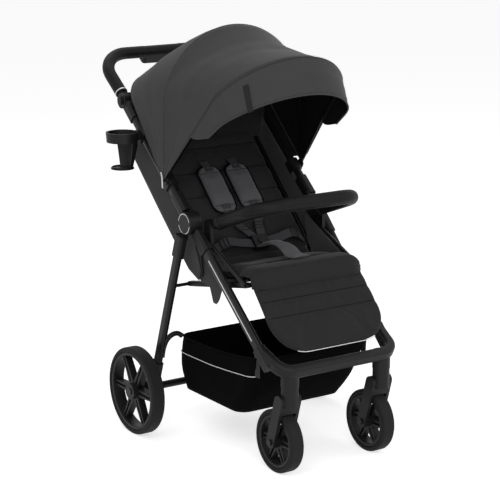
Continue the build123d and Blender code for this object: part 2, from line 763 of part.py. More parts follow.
socket_from = lerp3(rear_foot, rear_top, DRUM_D / 4)
with BuildPart() as drum:
    with BuildSketch(side_plane(DRUM_IN_X)):
        with Locations(REAR_AXLE):
            Circle(DRUM_D / 2)
    extrude(amount=drum_out_x - DRUM_IN_X)
    with BuildSketch(member_plane(socket_from, rear_top)):
        RectangleRounded(REAR_LEG_W + 2 * SLEEVE_WALL, REAR_LEG_H + 2 * SLEEVE_WALL, REAR_LEG_W * OVAL)
    extrude(amount=DRUM_D * DRUM_SOCKET)
    with BuildSketch(member_plane(lerp3(rear_foot, rear_top, DRUM_D / 2), rear_top)):
        RectangleRounded(REAR_LEG_W + 2 * FIT, REAR_LEG_H + 2 * FIT, REAR_LEG_W * OVAL)
    extrude(amount=DRUM_D * (DRUM_SOCKET + OVAL), mode=Mode.SUBTRACT)
    with BuildSketch(side_plane(DRUM_IN_X)):
        with Locations(REAR_AXLE):
            Circle(AXLE_TUBE_D / 2 + FIT)
    extrude(amount=drum_out_x - DRUM_IN_X, mode=Mode.SUBTRACT)
save_both(drum, "wheel_drums")

with BuildPart() as brake:
    with BuildSketch(side_plane(-BRAKE_W / 2)):
        with Locations(REAR_AXLE):
            Circle(BRAKE_SLEEVE_D / 2)
        with Locations((REAR_AXLE[0] + BRAKE_PADDLE_L / 2, REAR_AXLE[1] + BRAKE_SLEEVE_D / 4)):
            SlotOverall(BRAKE_PADDLE_L, BRAKE_PADDLE_T)
        with Locations(REAR_AXLE):
            Circle(AXLE_TUBE_D / 2 + RUN, mode=Mode.SUBTRACT)
    extrude(amount=BRAKE_W)
save(brake, "brake_pedal")

# Push handle: clevises on the tubes, a bent grip between them and its latch

ear_out = EYE_W / 2 + GAP + CLEVIS_EAR_T
with BuildPart() as clevis:
    with BuildSketch(side_plane(HANDLE_TUBE_X - ear_out)):
        with Locations(tilt_pivot):
            Circle(clevis_r)
    extrude(amount=2 * ear_out)
    sleeve_low = lerp3(handle_low, handle_high, HANDLE_TUBE_L - clevis_r - SLEEVE_END / 2)
    with BuildSketch(member_plane(sleeve_low, handle_high)):
        sleeve_w = HANDLE_TUBE_W + 2 * SLEEVE_WALL
        RectangleRounded(sleeve_w, HANDLE_TUBE_H + 2 * SLEEVE_WALL, HANDLE_TUBE_W * OVAL)
    extrude(amount=SLEEVE_END / 2 + clevis_r / 4)
    with BuildSketch(member_plane(sleeve_low, handle_high)):
        RectangleRounded(HANDLE_TUBE_W + 2 * FIT, HANDLE_TUBE_H + 2 * FIT, HANDLE_TUBE_W * OVAL)
    extrude(amount=SLEEVE_END / 2 - FIT, mode=Mode.SUBTRACT)
    with BuildSketch(side_plane(HANDLE_TUBE_X - EYE_W / 2 - GAP)):
        with Locations(tilt_pivot):
            Circle(EYE_D / 2 + GAP * 2)
        with Locations(polar(tilt_pivot, GRIP_ANGLE, clevis_r)):
            Rectangle(2 * clevis_r, 2 * clevis_r + CLEVIS_CUT, rotation=GRIP_ANGLE)
    extrude(amount=EYE_W + 2 * GAP, mode=Mode.SUBTRACT)
    with BuildSketch(side_plane(HANDLE_TUBE_X - ear_out)):
        with Locations(tilt_pivot):
            Circle(TILT_PIN_D / 2 + RUN)
    extrude(amount=2 * ear_out, mode=Mode.SUBTRACT)
    with BuildSketch(side_plane(HANDLE_TUBE_X + ear_out)):
        with Locations(tilt_pivot):
            Circle(BUTTON_D / 2 + GAP + BUTTON_GUARD_WALL)
            Circle(BUTTON_D / 2 + GAP, mode=Mode.SUBTRACT)
    extrude(amount=BUTTON_T - BUTTON_TRAVEL / 2)
save_both(clevis, "handle_clevises")

grip_plane_normal = (0, -sin(radians(GRIP_ANGLE)), cos(radians(GRIP_ANGLE)))
grip_plane = Plane(origin=(0, *tilt_pivot), x_dir=(1, 0, 0), z_dir=grip_plane_normal)
with BuildPart() as grip:
    with BuildLine(grip_plane):
        FilletPolyline(
            (HANDLE_TUBE_X, GRIP_START),
            (HANDLE_TUBE_X, GRIP_REACH),
            (-HANDLE_TUBE_X, GRIP_REACH),
            (-HANDLE_TUBE_X, GRIP_START),
            radius=GRIP_BEND_R,
        )
    grip_foot = (HANDLE_TUBE_X, *polar(tilt_pivot, GRIP_ANGLE, GRIP_START))
    grip_way = (0, cos(radians(GRIP_ANGLE)), sin(radians(GRIP_ANGLE)))
    with BuildSketch(Plane(origin=grip_foot, x_dir=(1, 0, 0), z_dir=grip_way)):
        Circle(GRIP_D / 2)
    sweep()
    for side in (1, -1):
        with BuildSketch(side_plane(side * HANDLE_TUBE_X - EYE_W / 2)):
            with Locations(tilt_pivot):
                Circle(EYE_D / 2)
            with Locations(polar(tilt_pivot, GRIP_ANGLE, GRIP_START / 2 + GRIP_EYE_LAP)):
                Rectangle(GRIP_START + 2 * GRIP_EYE_LAP, EYE_D * EYE_NECK, rotation=GRIP_ANGLE)
            with Locations(tilt_pivot):
                Circle(TILT_PIN_D / 2 + RUN, mode=Mode.SUBTRACT)
        extrude(amount=EYE_W)
save(grip, "push_handle")

with BuildPart() as tilt_pins:
    with BuildSketch(side_plane(HANDLE_TUBE_X - ear_out - TILT_HEAD_T)):
        with Locations(tilt_pivot):
            Circle(TILT_PIN_D / 2)
    extrude(amount=2 * ear_out + TILT_HEAD_T)
    with BuildSketch(side_plane(HANDLE_TUBE_X - ear_out - TILT_HEAD_T - GAP)):
        with Locations(tilt_pivot):
            Circle(TILT_PIN_D)
    extrude(amount=TILT_HEAD_T)
    mirror(about=Plane.YZ)
save(tilt_pins, "tilt_pins")

button_x = HANDLE_TUBE_X + ear_out + BUTTON_TRAVEL + GAP
with BuildPart() as button:
    with BuildSketch(side_plane(button_x)):
        with Locations(tilt_pivot):
            Circle(BUTTON_D / 2)
    extrude(amount=BUTTON_T - BUTTON_TRAVEL)
    crown = button.faces().sort_by(Axis.X)[-1].edges()
    fillet(crown, (BUTTON_T - BUTTON_TRAVEL) / 3)
save_pair(button, "tilt_button")

with BuildPart() as grip_rings:
    ring_foot = (HANDLE_TUBE_X, *polar(tilt_pivot, GRIP_ANGLE, GRIP_START + GRIP_RING_T))
    with BuildSketch(Plane(origin=ring_foot, x_dir=(1, 0, 0), z_dir=grip_way)):
        Circle(GRIP_D / 2 + GRIP_RING_PROUD)
        Circle(GRIP_D / 2 + FIT, mode=Mode.SUBTRACT)
    extrude(amount=GRIP_RING_T)
    mirror(about=Plane.YZ)
save(grip_rings, "grip_rings")

latch_at = polar(tilt_pivot, GRIP_ANGLE, GRIP_REACH)
latch_plane = Plane(origin=(0, *latch_at), x_dir=(1, 0, 0), z_dir=grip_plane_normal)
latch_floor = -GRIP_D / 2 - LATCH_H / 2
with BuildPart() as latch:
    with BuildSketch(latch_plane.offset(latch_floor)):
        RectangleRounded(LATCH_L, LATCH_W, LATCH_W / 4)
    extrude(amount=LATCH_H)
    with BuildSketch(side_plane(-LATCH_L)):
        with Locations(latch_at):
            Circle(GRIP_D / 2 + FIT)
    extrude(amount=2 * LATCH_L, mode=Mode.SUBTRACT)
    with BuildSketch(latch_plane.offset(latch_floor)):
        Rectangle(TRIGGER_L + 2 * GAP, TRIGGER_W + 2 * GAP)
    extrude(amount=TRIGGER_H / 2 + TRIGGER_TRAVEL + GAP, mode=Mode.SUBTRACT)
save(latch, "latch_housing")

with BuildPart() as trigger:
    with BuildSketch(latch_plane.offset(latch_floor - TRIGGER_H / 2)):
        RectangleRounded(TRIGGER_L, TRIGGER_W, TRIGGER_W / 4)
    extrude(amount=TRIGGER_H)
save(trigger, "fold_trigger")


# Seat frame: welded rails, cross tubes, side tubes and the brackets of the bumper bar

rail_rear = (RAIL_REAR_Y, RAIL_REAR_Z)
rail_way = 180 - SEAT_SLOPE
rail_front = polar(rail_rear, rail_way, RAIL_L)
rear_cross = polar(rail_rear, rail_way, REAR_CROSS_AT)
cross_tube_d = RAIL_H - 2 * GAP
bumper_pivot = (BUMPER_PIVOT_Y, BUMPER_PIVOT_Z)
bracket_foot = polar(HINGE, FRONT_LEG_ANGLE, BRACKET_FOOT)
bracket_step = (bumper_pivot[0] - bracket_foot[0], bumper_pivot[1] - bracket_foot[1])
bracket_run = hypot(*bracket_step)
bracket_way = degrees(atan2(bracket_step[1], bracket_step[0]))
leg_toe_in = (HANDLE_TUBE_X - FRONT_LEG_FOOT_X) / FRONT_LEG_L
sleeve_in_x = HANDLE_TUBE_X - FRONT_LEG_W / 2 - SLEEVE_WALL
stud_end_x = sleeve_in_x - leg_toe_in * (BRACKET_FOOT + STUD_D / 2) - GAP
bracket_mid_x = BRACKET_IN_X + BRACKET_T / 2
rail_out_x = RAIL_X + RAIL_W / 2
bumper_eye_x = BUMPER_END_X - BUMPER_EYE_D / 2
link_share = (HINGE_Z - RAIL_REAR_Z) / (HINGE_Z - REAR_AXLE[1])
link_leg_x = REAR_LEG_X + (REAR_LEG_FOOT_X - REAR_LEG_X) * link_share - REAR_LEG_W / 2


def seat_point(distance, height):
    """Point a distance along the seat from the rails' rear ends and a height above them."""
    return along(rail_rear, rail_way, distance, height)


with BuildPart() as side_frame:
    with BuildSketch(side_plane(RAIL_X - RAIL_W / 2)):
        with Locations(polar(rail_rear, rail_way, RAIL_L / 2)):
            SlotCenterToCenter(RAIL_L, RAIL_H, rotation=rail_way)
    extrude(amount=RAIL_W)
    with BuildSketch(side_plane(rail_out_x)):
        with Locations(rail_rear):
            Circle(LINK_PIN_D / 2)
    extrude(amount=link_leg_x - LINK_GAP - rail_out_x)
    with BuildSketch(side_plane(BRACKET_IN_X)):
        with Locations(polar(bracket_foot, bracket_way, bracket_run / 2)):
            SlotCenterToCenter(bracket_run, BRACKET_D, rotation=bracket_way)
    extrude(amount=BRACKET_T)
    with BuildSketch(side_plane(bracket_mid_x)):
        with Locations(bracket_foot):
            Circle(STUD_D / 2)
    extrude(amount=stud_end_x - bracket_mid_x)
    with BuildSketch(side_plane(bumper_eye_x)):
        with Locations(bumper_pivot):
            Circle(BUMPER_PIN_D / 2)
    extrude(amount=bracket_mid_x - bumper_eye_x)
    tube_from = (bracket_mid_x, *bracket_foot)
    tube_to = (rail_out_x, *rail_front)
    with BuildSketch(member_plane(tube_from, tube_to)):
        Circle(SIDE_TUBE_D / 2)
    extrude(amount=(Vector(*tube_to) - Vector(*tube_from)).length)

with BuildPart() as seat_frame:
    add(side_frame.part)
    mirror(side_frame.part, about=Plane.YZ)
    for centre in (rail_front, rear_cross):
        with BuildSketch(side_plane(-RAIL_X)):
            with Locations(centre):
                Circle(cross_tube_d / 2)
        extrude(amount=2 * RAIL_X)
save(seat_frame, "seat_frame")

seat_up = (0, sin(radians(SEAT_SLOPE)), cos(radians(SEAT_SLOPE)))
pan_l = PAN_END - PAN_START
pan_plane = Plane(
    origin=(0, *seat_point((PAN_START + PAN_END) / 2, RAIL_H / 2 + STACK)),
    x_dir=(1, 0, 0),
    z_dir=seat_up,
)
with BuildPart() as pan:
    with BuildSketch(pan_plane):
        RectangleRounded(2 * (RAIL_X - RAIL_W / 2 + PAN_LEDGE), pan_l, RAIL_W)
    extrude(amount=PAN_T)
save(pan, "seat_pan")


# Bumper bar: a bent padded bar with an eye on each bracket pin

bumper_way = (0, cos(radians(BUMPER_ANGLE)), sin(radians(BUMPER_ANGLE)))
bumper_normal = (0, sin(radians(BUMPER_ANGLE)), -cos(radians(BUMPER_ANGLE)))
bumper_plane = Plane(origin=(0, *bumper_pivot), x_dir=(-1, 0, 0), z_dir=bumper_normal)
bumper_eye_w = BRACKET_IN_X - GAP - bumper_eye_x
with BuildPart() as bumper:
    with BuildLine(bumper_plane):
        FilletPolyline(
            (-BUMPER_END_X, BUMPER_START),
            (-BUMPER_CORNER_X, BUMPER_REACH),
            (BUMPER_CORNER_X, BUMPER_REACH),
            (BUMPER_END_X, BUMPER_START),
            radius=BUMPER_BEND_R,
        )
    bumper_foot = (BUMPER_END_X, *polar(bumper_pivot, BUMPER_ANGLE, BUMPER_START))
    with BuildSketch(Plane(origin=bumper_foot, x_dir=(1, 0, 0), z_dir=bumper_way)):
        Circle(BUMPER_D / 2)
    sweep()
    for eye_x in (bumper_eye_x, -bumper_eye_x - bumper_eye_w):
        with BuildSketch(side_plane(eye_x)):
            with Locations(bumper_pivot):
                Circle(BUMPER_EYE_D / 2)
            neck_l = BUMPER_START + 2 * BUMPER_EYE_LAP
            with Locations(polar(bumper_pivot, BUMPER_ANGLE, neck_l / 2)):
                Rectangle(neck_l, BUMPER_EYE_D * BUMPER_NECK, rotation=BUMPER_ANGLE)
        extrude(amount=bumper_eye_w)
    with BuildSketch(side_plane(-BRACKET_IN_X)):
        with Locations(bumper_pivot):
            Circle(BUMPER_PIN_D / 2 + RUN)
    extrude(amount=2 * BRACKET_IN_X, mode=Mode.SUBTRACT)
save(bumper, "bumper_bar")


# Soft pads: crowned forms whose sides pull in between their corners


def pad(plane, width, length, thick, pull, grooves=()):
    """Crowned cushion that stands on a plane, with sewn channels across it."""
    with BuildPart() as piece:
        for share, inset in PAD_LAYERS:
            half_w = width / 2 - inset
            half_l = length / 2 - inset
            with BuildSketch(plane.offset(thick * share)):
                with BuildLine():
                    ThreePointArc((-half_w, -half_l), (0, -half_l + pull), (half_w, -half_l))
                    ThreePointArc((half_w, -half_l), (half_w - pull, 0), (half_w, half_l))
                    ThreePointArc((half_w, half_l), (0, half_l - pull), (-half_w, half_l))
                    ThreePointArc((-half_w, half_l), (-half_w + pull, 0), (-half_w, -half_l))
                make_face()
        loft()
        groove_height = thick + GROOVE_R - GROOVE_DEPTH
        for at in grooves:
            start = plane.from_local_coords(Vector(-width, at - length / 2, groove_height))
            with BuildSketch(Plane(origin=start, x_dir=plane.y_dir, z_dir=plane.x_dir)):
                Circle(GROOVE_R)
            extrude(amount=2 * width, mode=Mode.SUBTRACT)
    return piece


def pad_plane(plane, x, y, height):
    """Plane parallel to another, at a place given in that plane's own axes."""
    return Plane(origin=plane.from_local_coords(Vector(x, y, height)), x_dir=plane.x_dir, z_dir=plane.z_dir)


cushion_l = CUSHION_END - CUSHION_START
cushion_shift = (PAN_START + PAN_END - CUSHION_START - CUSHION_END) / 2
cushion_plane = pad_plane(pan_plane, 0, cushion_shift, PAN_T + STACK)
seat_pad = pad(cushion_plane, 2 * CUSHION_HALF_W, cushion_l, CUSHION_T, CUSHION_PULL)
save(seat_pad, "seat_cushion")


# Calf rest: a padded panel on a board that hooks round the front cross tube

calf_l = CALF_END - CALF_START
calf_middle = (CALF_START + CALF_END) / 2
calf_normal = (0, *along((0, 0), CALF_ANGLE, 0, 1))
calf_back = along(rail_front, CALF_ANGLE, calf_middle, CALF_FRONT - CALF_T)
calf_plane = Plane(origin=(0, *calf_back), x_dir=(1, 0, 0), z_dir=calf_normal)
with BuildPart() as calf:
    for share, inset in PAD_LAYERS:
        half_w = CALF_W / 2 - inset
        half_l = calf_l / 2 - inset
        turn = CALF_CORNER - inset
        with BuildSketch(calf_plane.offset(CALF_T * share)):
            with BuildLine():
                low = Line((-half_w + turn, -half_l), (half_w - turn, -half_l))
                TangentArc(low @ 1, (half_w, -half_l + turn), tangent=low % 1)
                Line((half_w, -half_l + turn), (half_w, half_l))
                ThreePointArc((half_w, half_l), (0, half_l - CALF_PULL), (-half_w, half_l))
                Line((-half_w, half_l), (-half_w, -half_l + turn))
                TangentArc((-half_w, -half_l + turn), low @ 0, tangent=(0, -1))
            make_face()
    loft()
    groove_height = CALF_T + GROOVE_R - GROOVE_DEPTH
    for at in CALF_GROOVES:
        start = calf_plane.from_local_coords(Vector(-CALF_W, calf_l / 2 - at, groove_height))
        with BuildSketch(Plane(origin=start, x_dir=calf_plane.y_dir, z_dir=calf_plane.x_dir)):
            Circle(GROOVE_R)
        extrude(amount=2 * CALF_W, mode=Mode.SUBTRACT)
save(calf, "calf_cushion")

board_l = calf_l - 2 * CALF_BOARD_INSET
board_depth = CALF_FRONT - CALF_T - STACK - CALF_BOARD_T
with BuildPart() as calf_board:
    with BuildSketch(pad_plane(calf_plane, 0, 0, -STACK - CALF_BOARD_T)):
        RectangleRounded(CALF_W - 2 * CALF_BOARD_INSET, board_l, CALF_CORNER - CALF_BOARD_INSET)
    extrude(amount=CALF_BOARD_T)
    hook_l = CALF_START + CALF_BOARD_INSET + CALF_HOOK_W / 2
    for hook_x in (CALF_HOOK_X, -CALF_HOOK_X):
        with BuildSketch(side_plane(hook_x - CALF_HOOK_W / 2)):
            with Locations(rail_front):
                Circle(cross_tube_d / 2 + RUN + CALF_HOOK_WALL)
            with Locations(along(rail_front, CALF_ANGLE, hook_l / 2, board_depth + CALF_BOARD_T / 2)):
                Rectangle(hook_l, CALF_BOARD_T, rotation=CALF_ANGLE)
        extrude(amount=CALF_HOOK_W)
    with BuildSketch(side_plane(-CALF_W / 2)):
        with Locations(rail_front):
            Circle(cross_tube_d / 2 + RUN)
    extrude(amount=CALF_W, mode=Mode.SUBTRACT)
save(calf_board, "calf_board")


# Backrest: a cushion on a shell that turns on a rod between the recline arms

back_low = along(HINGE, HANDLE_ANGLE, BACK_START, BACK_FOOT_DEPTH)
back_high = along(HINGE, HANDLE_ANGLE, BACK_END, BACK_TOP_DEPTH)
back_run = hypot(back_high[0] - back_low[0], back_high[1] - back_low[1])
back_angle = degrees(atan2(back_high[1] - back_low[1], back_high[0] - back_low[0]))
back_plane = Plane(
    origin=(0, *polar(back_low, back_angle, back_run / 2)),
    x_dir=(1, 0, 0),
    z_dir=(0, *polar((0, 0), back_angle + 90, 1)),
)
back_pad = pad(back_plane, 2 * BACK_HALF_W, back_run, BACK_CUSHION_T, BACK_PULL, BACK_GROOVES)
save(back_pad, "backrest_cushion")

lug_end = along(back_low, back_angle, BACK_SHELL_START + LUG_D, SHELL_FOOT_DEPTH / 2)
lug_run = hypot(lug_end[0] - recline_pivot[0], lug_end[1] - recline_pivot[1])
lug_way = degrees(atan2(lug_end[1] - recline_pivot[1], lug_end[0] - recline_pivot[0]))
shell_half_w = KNUCKLE_IN_X - BACK_SIDE_GAP
with BuildPart() as shell:
    with BuildSketch(side_plane(-shell_half_w)):
        Polygon(
            along(back_low, back_angle, BACK_SHELL_START, STACK),
            along(back_low, back_angle, back_run, STACK),
            along(back_low, back_angle, back_run, SHELL_TOP_DEPTH),
            along(back_low, back_angle, SHELL_KNEE, SHELL_KNEE_DEPTH),
            along(back_low, back_angle, BACK_SHELL_START, SHELL_FOOT_DEPTH),
            align=None,
        )
    extrude(amount=2 * shell_half_w)
    mouth = shell.faces().filter_by(lambda face: face.normal_at().dot(back_plane.z_dir) > 0.99)
    offset(amount=-BACK_SHELL_T, openings=mouth[0])
    for lug_x in (shell_half_w - BACK_SHELL_T, -shell_half_w):
        with BuildSketch(side_plane(lug_x)):
            with Locations(polar(recline_pivot, lug_way, lug_run / 2)):
                SlotCenterToCenter(lug_run, LUG_D, rotation=lug_way)
        extrude(amount=BACK_SHELL_T)
    for rod_x, rod_d in ((KNUCKLE_IN_X - GAP, RECLINE_ROD_D), (recline_arm_out_x, RECLINE_JOURNAL_D)):
        with BuildSketch(side_plane(-rod_x)):
            with Locations(recline_pivot):
                Circle(rod_d / 2)
        extrude(amount=2 * rod_x)
save(shell, "backrest_shell")


# Side cloth: wings behind the handle tubes and panels below the hinges

wing_from = HANDLE_TUBE_H / 2 + CANOPY_CLIP_WALL - WING_TUCK
with BuildPart() as wing:
    with BuildSketch(side_plane(WING_X)):
        corners = [along(HINGE, HANDLE_ANGLE, s, max(depth, wing_from)) for s, depth in WING_OUTLINE]
        Polygon(*corners, align=None)
    extrude(amount=WING_T)
save_both(wing, "seat_wings")

with BuildPart() as side_panel:
    with BuildSketch(side_plane(rail_out_x + GAP)):
        Polygon(*PANEL_OUTLINE, align=None)
    extrude(amount=PANEL_T)
save_both(side_panel, "seat_side_panels")


# Harness: shoulder pads, straps, crotch pad and buckle

pad_y = SHOULDER_PAD_AT - back_run / 2
pad_base = BACK_CUSHION_T + STACK
with BuildPart() as shoulder_pads:
    for pad_x in (SHOULDER_PAD_X, -SHOULDER_PAD_X):
        one_plane = pad_plane(back_plane, pad_x, pad_y, pad_base)
        one_pad = pad(one_plane, SHOULDER_PAD_W, SHOULDER_PAD_L, SHOULDER_PAD_T, SHOULDER_PAD_PULL)
        add(one_pad.part)
save(shoulder_pads, "shoulder_pads")

buckle_at = (BUCKLE_Y, BUCKLE_Z)
buckle_plane = Plane(origin=(0, *buckle_at), x_dir=(1, 0, 0), z_dir=back_plane.z_dir)
buckle_face = buckle_plane.offset(BUCKLE_T / 2)
pocket_depth = BUCKLE_BUTTON_T + GAP
with BuildPart() as buckle:
    with BuildSketch(buckle_plane.offset(-BUCKLE_T / 2)):
        RectangleRounded(BUCKLE_W, BUCKLE_H, BUCKLE_CORNER)
    extrude(amount=BUCKLE_T)
    with BuildSketch(buckle_face):
        Circle(BUCKLE_BUTTON_D / 2 + GAP)
    extrude(amount=-pocket_depth, mode=Mode.SUBTRACT)
save(buckle, "buckle")

with BuildPart() as buckle_button:
    with BuildSketch(buckle_face.offset(BUCKLE_TRAVEL + GAP - pocket_depth)):
        Circle(BUCKLE_BUTTON_D / 2)
    extrude(amount=BUCKLE_BUTTON_T)
save(buckle_button, "buckle_button")

buckle_local = back_plane.to_local_coords(Vector(0, *buckle_at))
strap_low_y = buckle_local.Y + BUCKLE_H / 2 + STRAP_GAP + STRAP_SLANT
strap_top_y = pad_y - SHOULDER_PAD_L / 2 - STRAP_GAP - STRAP_SLANT
strap_face = pad_base + STRAP_T / 2
with BuildPart() as straps:
    for way in (1, -1):
        strap_top = back_plane.from_local_coords(
            Vector(way * SHOULDER_PAD_X, strap_top_y, strap_face + STRAP_GAP)
        )
        strap_low = back_plane.from_local_coords(
            Vector(way * (STRAP_W / 2 + STRAP_GAP), strap_low_y, buckle_local.Z)
        )
        with BuildSketch(Plane(origin=strap_low, x_dir=(1, 0, 0), z_dir=strap_top - strap_low)):
            Rectangle(STRAP_W, STRAP_T)
        extrude(amount=(strap_top - strap_low).length)
        lap_inner = back_plane.from_local_coords(
            Vector(way * (BUCKLE_W / 2 + STRAP_GAP), buckle_local.Y, buckle_local.Z)
        )
        lap_outer = back_plane.from_local_coords(
            Vector(way * LAP_STRAP_X, buckle_local.Y, strap_face + STRAP_GAP)
        )
        with BuildSketch(Plane(origin=lap_inner, x_dir=back_plane.y_dir, z_dir=lap_outer - lap_inner)):
            Rectangle(STRAP_W, STRAP_T)
        extrude(amount=(lap_outer - lap_inner).length)
save(straps, "harness_straps")

crotch_front = seat_point(CROTCH_FRONT, RAIL_H / 2 + STACK + PAN_T + STACK + CUSHION_T + STACK)
crotch_rear = polar(buckle_at, back_angle + 180, BUCKLE_H / 2 + STACK)
crotch_crown = ((crotch_front[0] + crotch_rear[0]) / 2, max(crotch_front[1], crotch_rear[1]) + CROTCH_RISE)
with BuildPart() as crotch_pad:
    with BuildSketch(side_plane(-CROTCH_W / 2)):
        with BuildLine():
            ThreePointArc(crotch_front, crotch_crown, crotch_rear)
            crotch_top = (crotch_crown[0], crotch_crown[1] + CROTCH_T)
            rear_top_point = polar(crotch_rear, back_angle + 90, CROTCH_T)
            front_top_point = (crotch_front[0] - CROTCH_T / 2, crotch_front[1] + CROTCH_T)
            ThreePointArc(front_top_point, crotch_top, rear_top_point)
            Line(crotch_front, front_top_point)
            Line(crotch_rear, rear_top_point)
        make_face()
    extrude(amount=CROTCH_W)
save(crotch_pad, "crotch_pad")


# Canopy: cloth over two bows that turn on one pivot at each handle tube


def arch_plane(angle):
    """Plane through both canopy pivots at an angle, with X across and Y outwards."""
    facing = (0, -sin(radians(angle)), cos(radians(angle)))
    return Plane(origin=(0, *canopy_pivot), x_dir=(1, 0, 0), z_dir=facing)


def arch_points(station, inset, base_x, base_r):
    """Base, shoulder, corner, tangent point and crown of one half of a three-centred arch."""
    _, width, shoulder, crown, corner = station
    rise = crown - shoulder
    top_r = (width**2 - 2 * width * corner + rise**2) / (2 * (rise - corner))
    lean = degrees(atan2(shoulder - crown + top_r, width - corner))
    side_centre = (width - corner, shoulder)
    return (
        (base_x - inset, base_r),
        (width - inset, shoulder),
        polar(side_centre, lean / 2, corner - inset),
        polar(side_centre, lean, corner - inset),
        (0, crown - inset),
    )


def flip(point):
    """Mirror image of a point across the middle of an arch."""
    return (-point[0], point[1])


def canopy_panel(stations, base_r):
    """Cloth of even thickness lofted over a row of arches."""
    with BuildPart() as panel:
        for station in stations:
            reach = (base_r - CANOPY_BASE_R) / (station[2] - CANOPY_BASE_R)
            base_x = CANOPY_BASE_X + (station[1] - CANOPY_BASE_X) * reach
            outer = arch_points(station, 0, base_x, base_r)
            inner = arch_points(station, CANOPY_SKIN, base_x, base_r)
            with BuildSketch(arch_plane(station[0])):
                with BuildLine():
                    for base, shoulder, corner, tangent, crown in (outer, inner):
                        Line(base, shoulder)
                        ThreePointArc(shoulder, corner, tangent)
                        ThreePointArc(tangent, crown, flip(tangent))
                        ThreePointArc(flip(tangent), flip(corner), flip(shoulder))
                        Line(flip(shoulder), flip(base))
                    Line(outer[0], inner[0])
                    Line(flip(outer[0]), flip(inner[0]))
                make_face()
        loft()
    return panel


def turned(station, angle):
    """The same arch at an angle a little further on."""
    return (station[0] + angle, *station[1:])


rear_stations = (REAR_EDGE, REAR_STAY, turned(MAIN_BOW, -PANEL_GAP_DEG))
save(canopy_panel(rear_stations, CANOPY_BASE_R), "canopy_rear_panel")
front_stations = (turned(MAIN_BOW, PANEL_GAP_DEG), MID_STAY, turned(FRONT_BOW, -PANEL_GAP_DEG))
save(canopy_panel(front_stations, CANOPY_BASE_R), "canopy_front_panel")
visor_stations = (turned(FRONT_BOW, PANEL_GAP_DEG), VISOR_EDGE)
save(canopy_panel(visor_stations, VISOR_START), "visor")


def bow(station, hub_x):
    """Flat arched strip under the cloth, with a hub on each pivot."""
    outer_inset = CANOPY_SKIN + BOW_GAP
    inner_inset = outer_inset + BOW_T
    strip_from = BOW_ROOT - BOW_T
    outer = arch_points(station, outer_inset, hub_x + inner_inset, strip_from)
    inner = arch_points(station, inner_inset, hub_x + inner_inset, strip_from)
    with BuildPart() as strip:
        with BuildSketch(arch_plane(station[0]).offset(-BOW_W / 2)):
            with BuildLine():
                for base, shoulder, corner, tangent, crown in (outer, inner):
                    Line(base, shoulder)
                    ThreePointArc(shoulder, corner, tangent)
                    ThreePointArc(tangent, crown, flip(tangent))
                    ThreePointArc(flip(tangent), flip(corner), flip(shoulder))
                    Line(flip(shoulder), flip(base))
                Line(outer[0], inner[0])
                Line(flip(outer[0]), flip(inner[0]))
            make_face()
        extrude(amount=BOW_W)
        for disc_x in (hub_x, -hub_x - BOW_T):
            with BuildSketch(side_plane(disc_x)):
                with Locations(canopy_pivot):
                    Circle(BOW_HUB_D / 2)
                with Locations(polar(canopy_pivot, station[0], BOW_ROOT / 2)):
                    Rectangle(BOW_ROOT, BOW_W, rotation=station[0])
            extrude(amount=BOW_T)
        with BuildSketch(side_plane(-hub_x - BOW_T)):
            with Locations(canopy_pivot):
                Circle(CANOPY_PIVOT_D / 2 + RUN)
        extrude(amount=2 * hub_x + 2 * BOW_T, mode=Mode.SUBTRACT)
    return strip


clip_out_x = HANDLE_TUBE_X + HANDLE_TUBE_W / 2 + CANOPY_CLIP_WALL
front_hub_x = clip_out_x + GAP
main_hub_x = front_hub_x + BOW_T + 2 * GAP
save(bow(MAIN_BOW, main_hub_x), "main_bow")
save(bow(FRONT_BOW, front_hub_x), "front_bow")


def tube_clamp(middle, length, wall):
    """Sleeve round the left handle tube, centred at a distance from the hinge."""
    low = lerp3(handle_low, handle_high, middle - length / 2)
    high = lerp3(handle_low, handle_high, middle + length / 2)
    outer_w = HANDLE_TUBE_W + 2 * wall
    outer_h = HANDLE_TUBE_H + 2 * wall
    with BuildPart() as clamp:
        with BuildSketch(member_plane(low, high)):
            RectangleRounded(outer_w, outer_h, HANDLE_TUBE_W * OVAL)
            RectangleRounded(
                HANDLE_TUBE_W + 2 * FIT, HANDLE_TUBE_H + 2 * FIT, HANDLE_TUBE_W * OVAL, mode=Mode.SUBTRACT
            )
        extrude(amount=length)
    return clamp


with BuildPart() as canopy_clip:
    add(tube_clamp(CANOPY_ON_TUBE, CANOPY_CLIP_L, CANOPY_CLIP_WALL).part)
    with BuildSketch(side_plane(clip_out_x - CANOPY_CLIP_WALL / 2)):
        with Locations(canopy_pivot):
            Circle(CANOPY_PIVOT_D / 2)
    extrude(amount=CANOPY_CLIP_WALL / 2 + CANOPY_PIVOT_L)
save_both(canopy_clip, "canopy_clips")


# Basket: a soft tub under the seat, hung from the rails and the front legs

basket_sizes = (
    (BASKET_FLOOR_Z, BASKET_FLOOR_HALF_W, BASKET_FLOOR_FRONT_Y, BASKET_FLOOR_REAR_Y),
    (BASKET_RIM_Z, BASKET_RIM_HALF_W, BASKET_RIM_FRONT_Y, BASKET_RIM_REAR_Y),
)
rim_mid_y = (BASKET_RIM_FRONT_Y + BASKET_RIM_REAR_Y) / 2
rim_mid_z = (BASKET_RIM_Z + BASKET_REAR_RIM_Z) / 2
wall_slope = (BASKET_RIM_HALF_W - BASKET_FLOOR_HALF_W) / (BASKET_RIM_Z - BASKET_FLOOR_Z)
front_hang_s = (HINGE_Y - FRONT_HANGER_Y) / -cos(radians(FRONT_LEG_ANGLE))
front_hang_at = polar(HINGE, FRONT_LEG_ANGLE, front_hang_s)
front_hang_x = HANDLE_TUBE_X - leg_toe_in * front_hang_s - FRONT_LEG_W / 2 - GAP - HANGER_T
hanger_drop = -RAIL_H / 2 - STACK - HANGER_T
rear_hang_at = seat_point(RAIL_REAR_Y - REAR_HANGER_Y, hanger_drop)
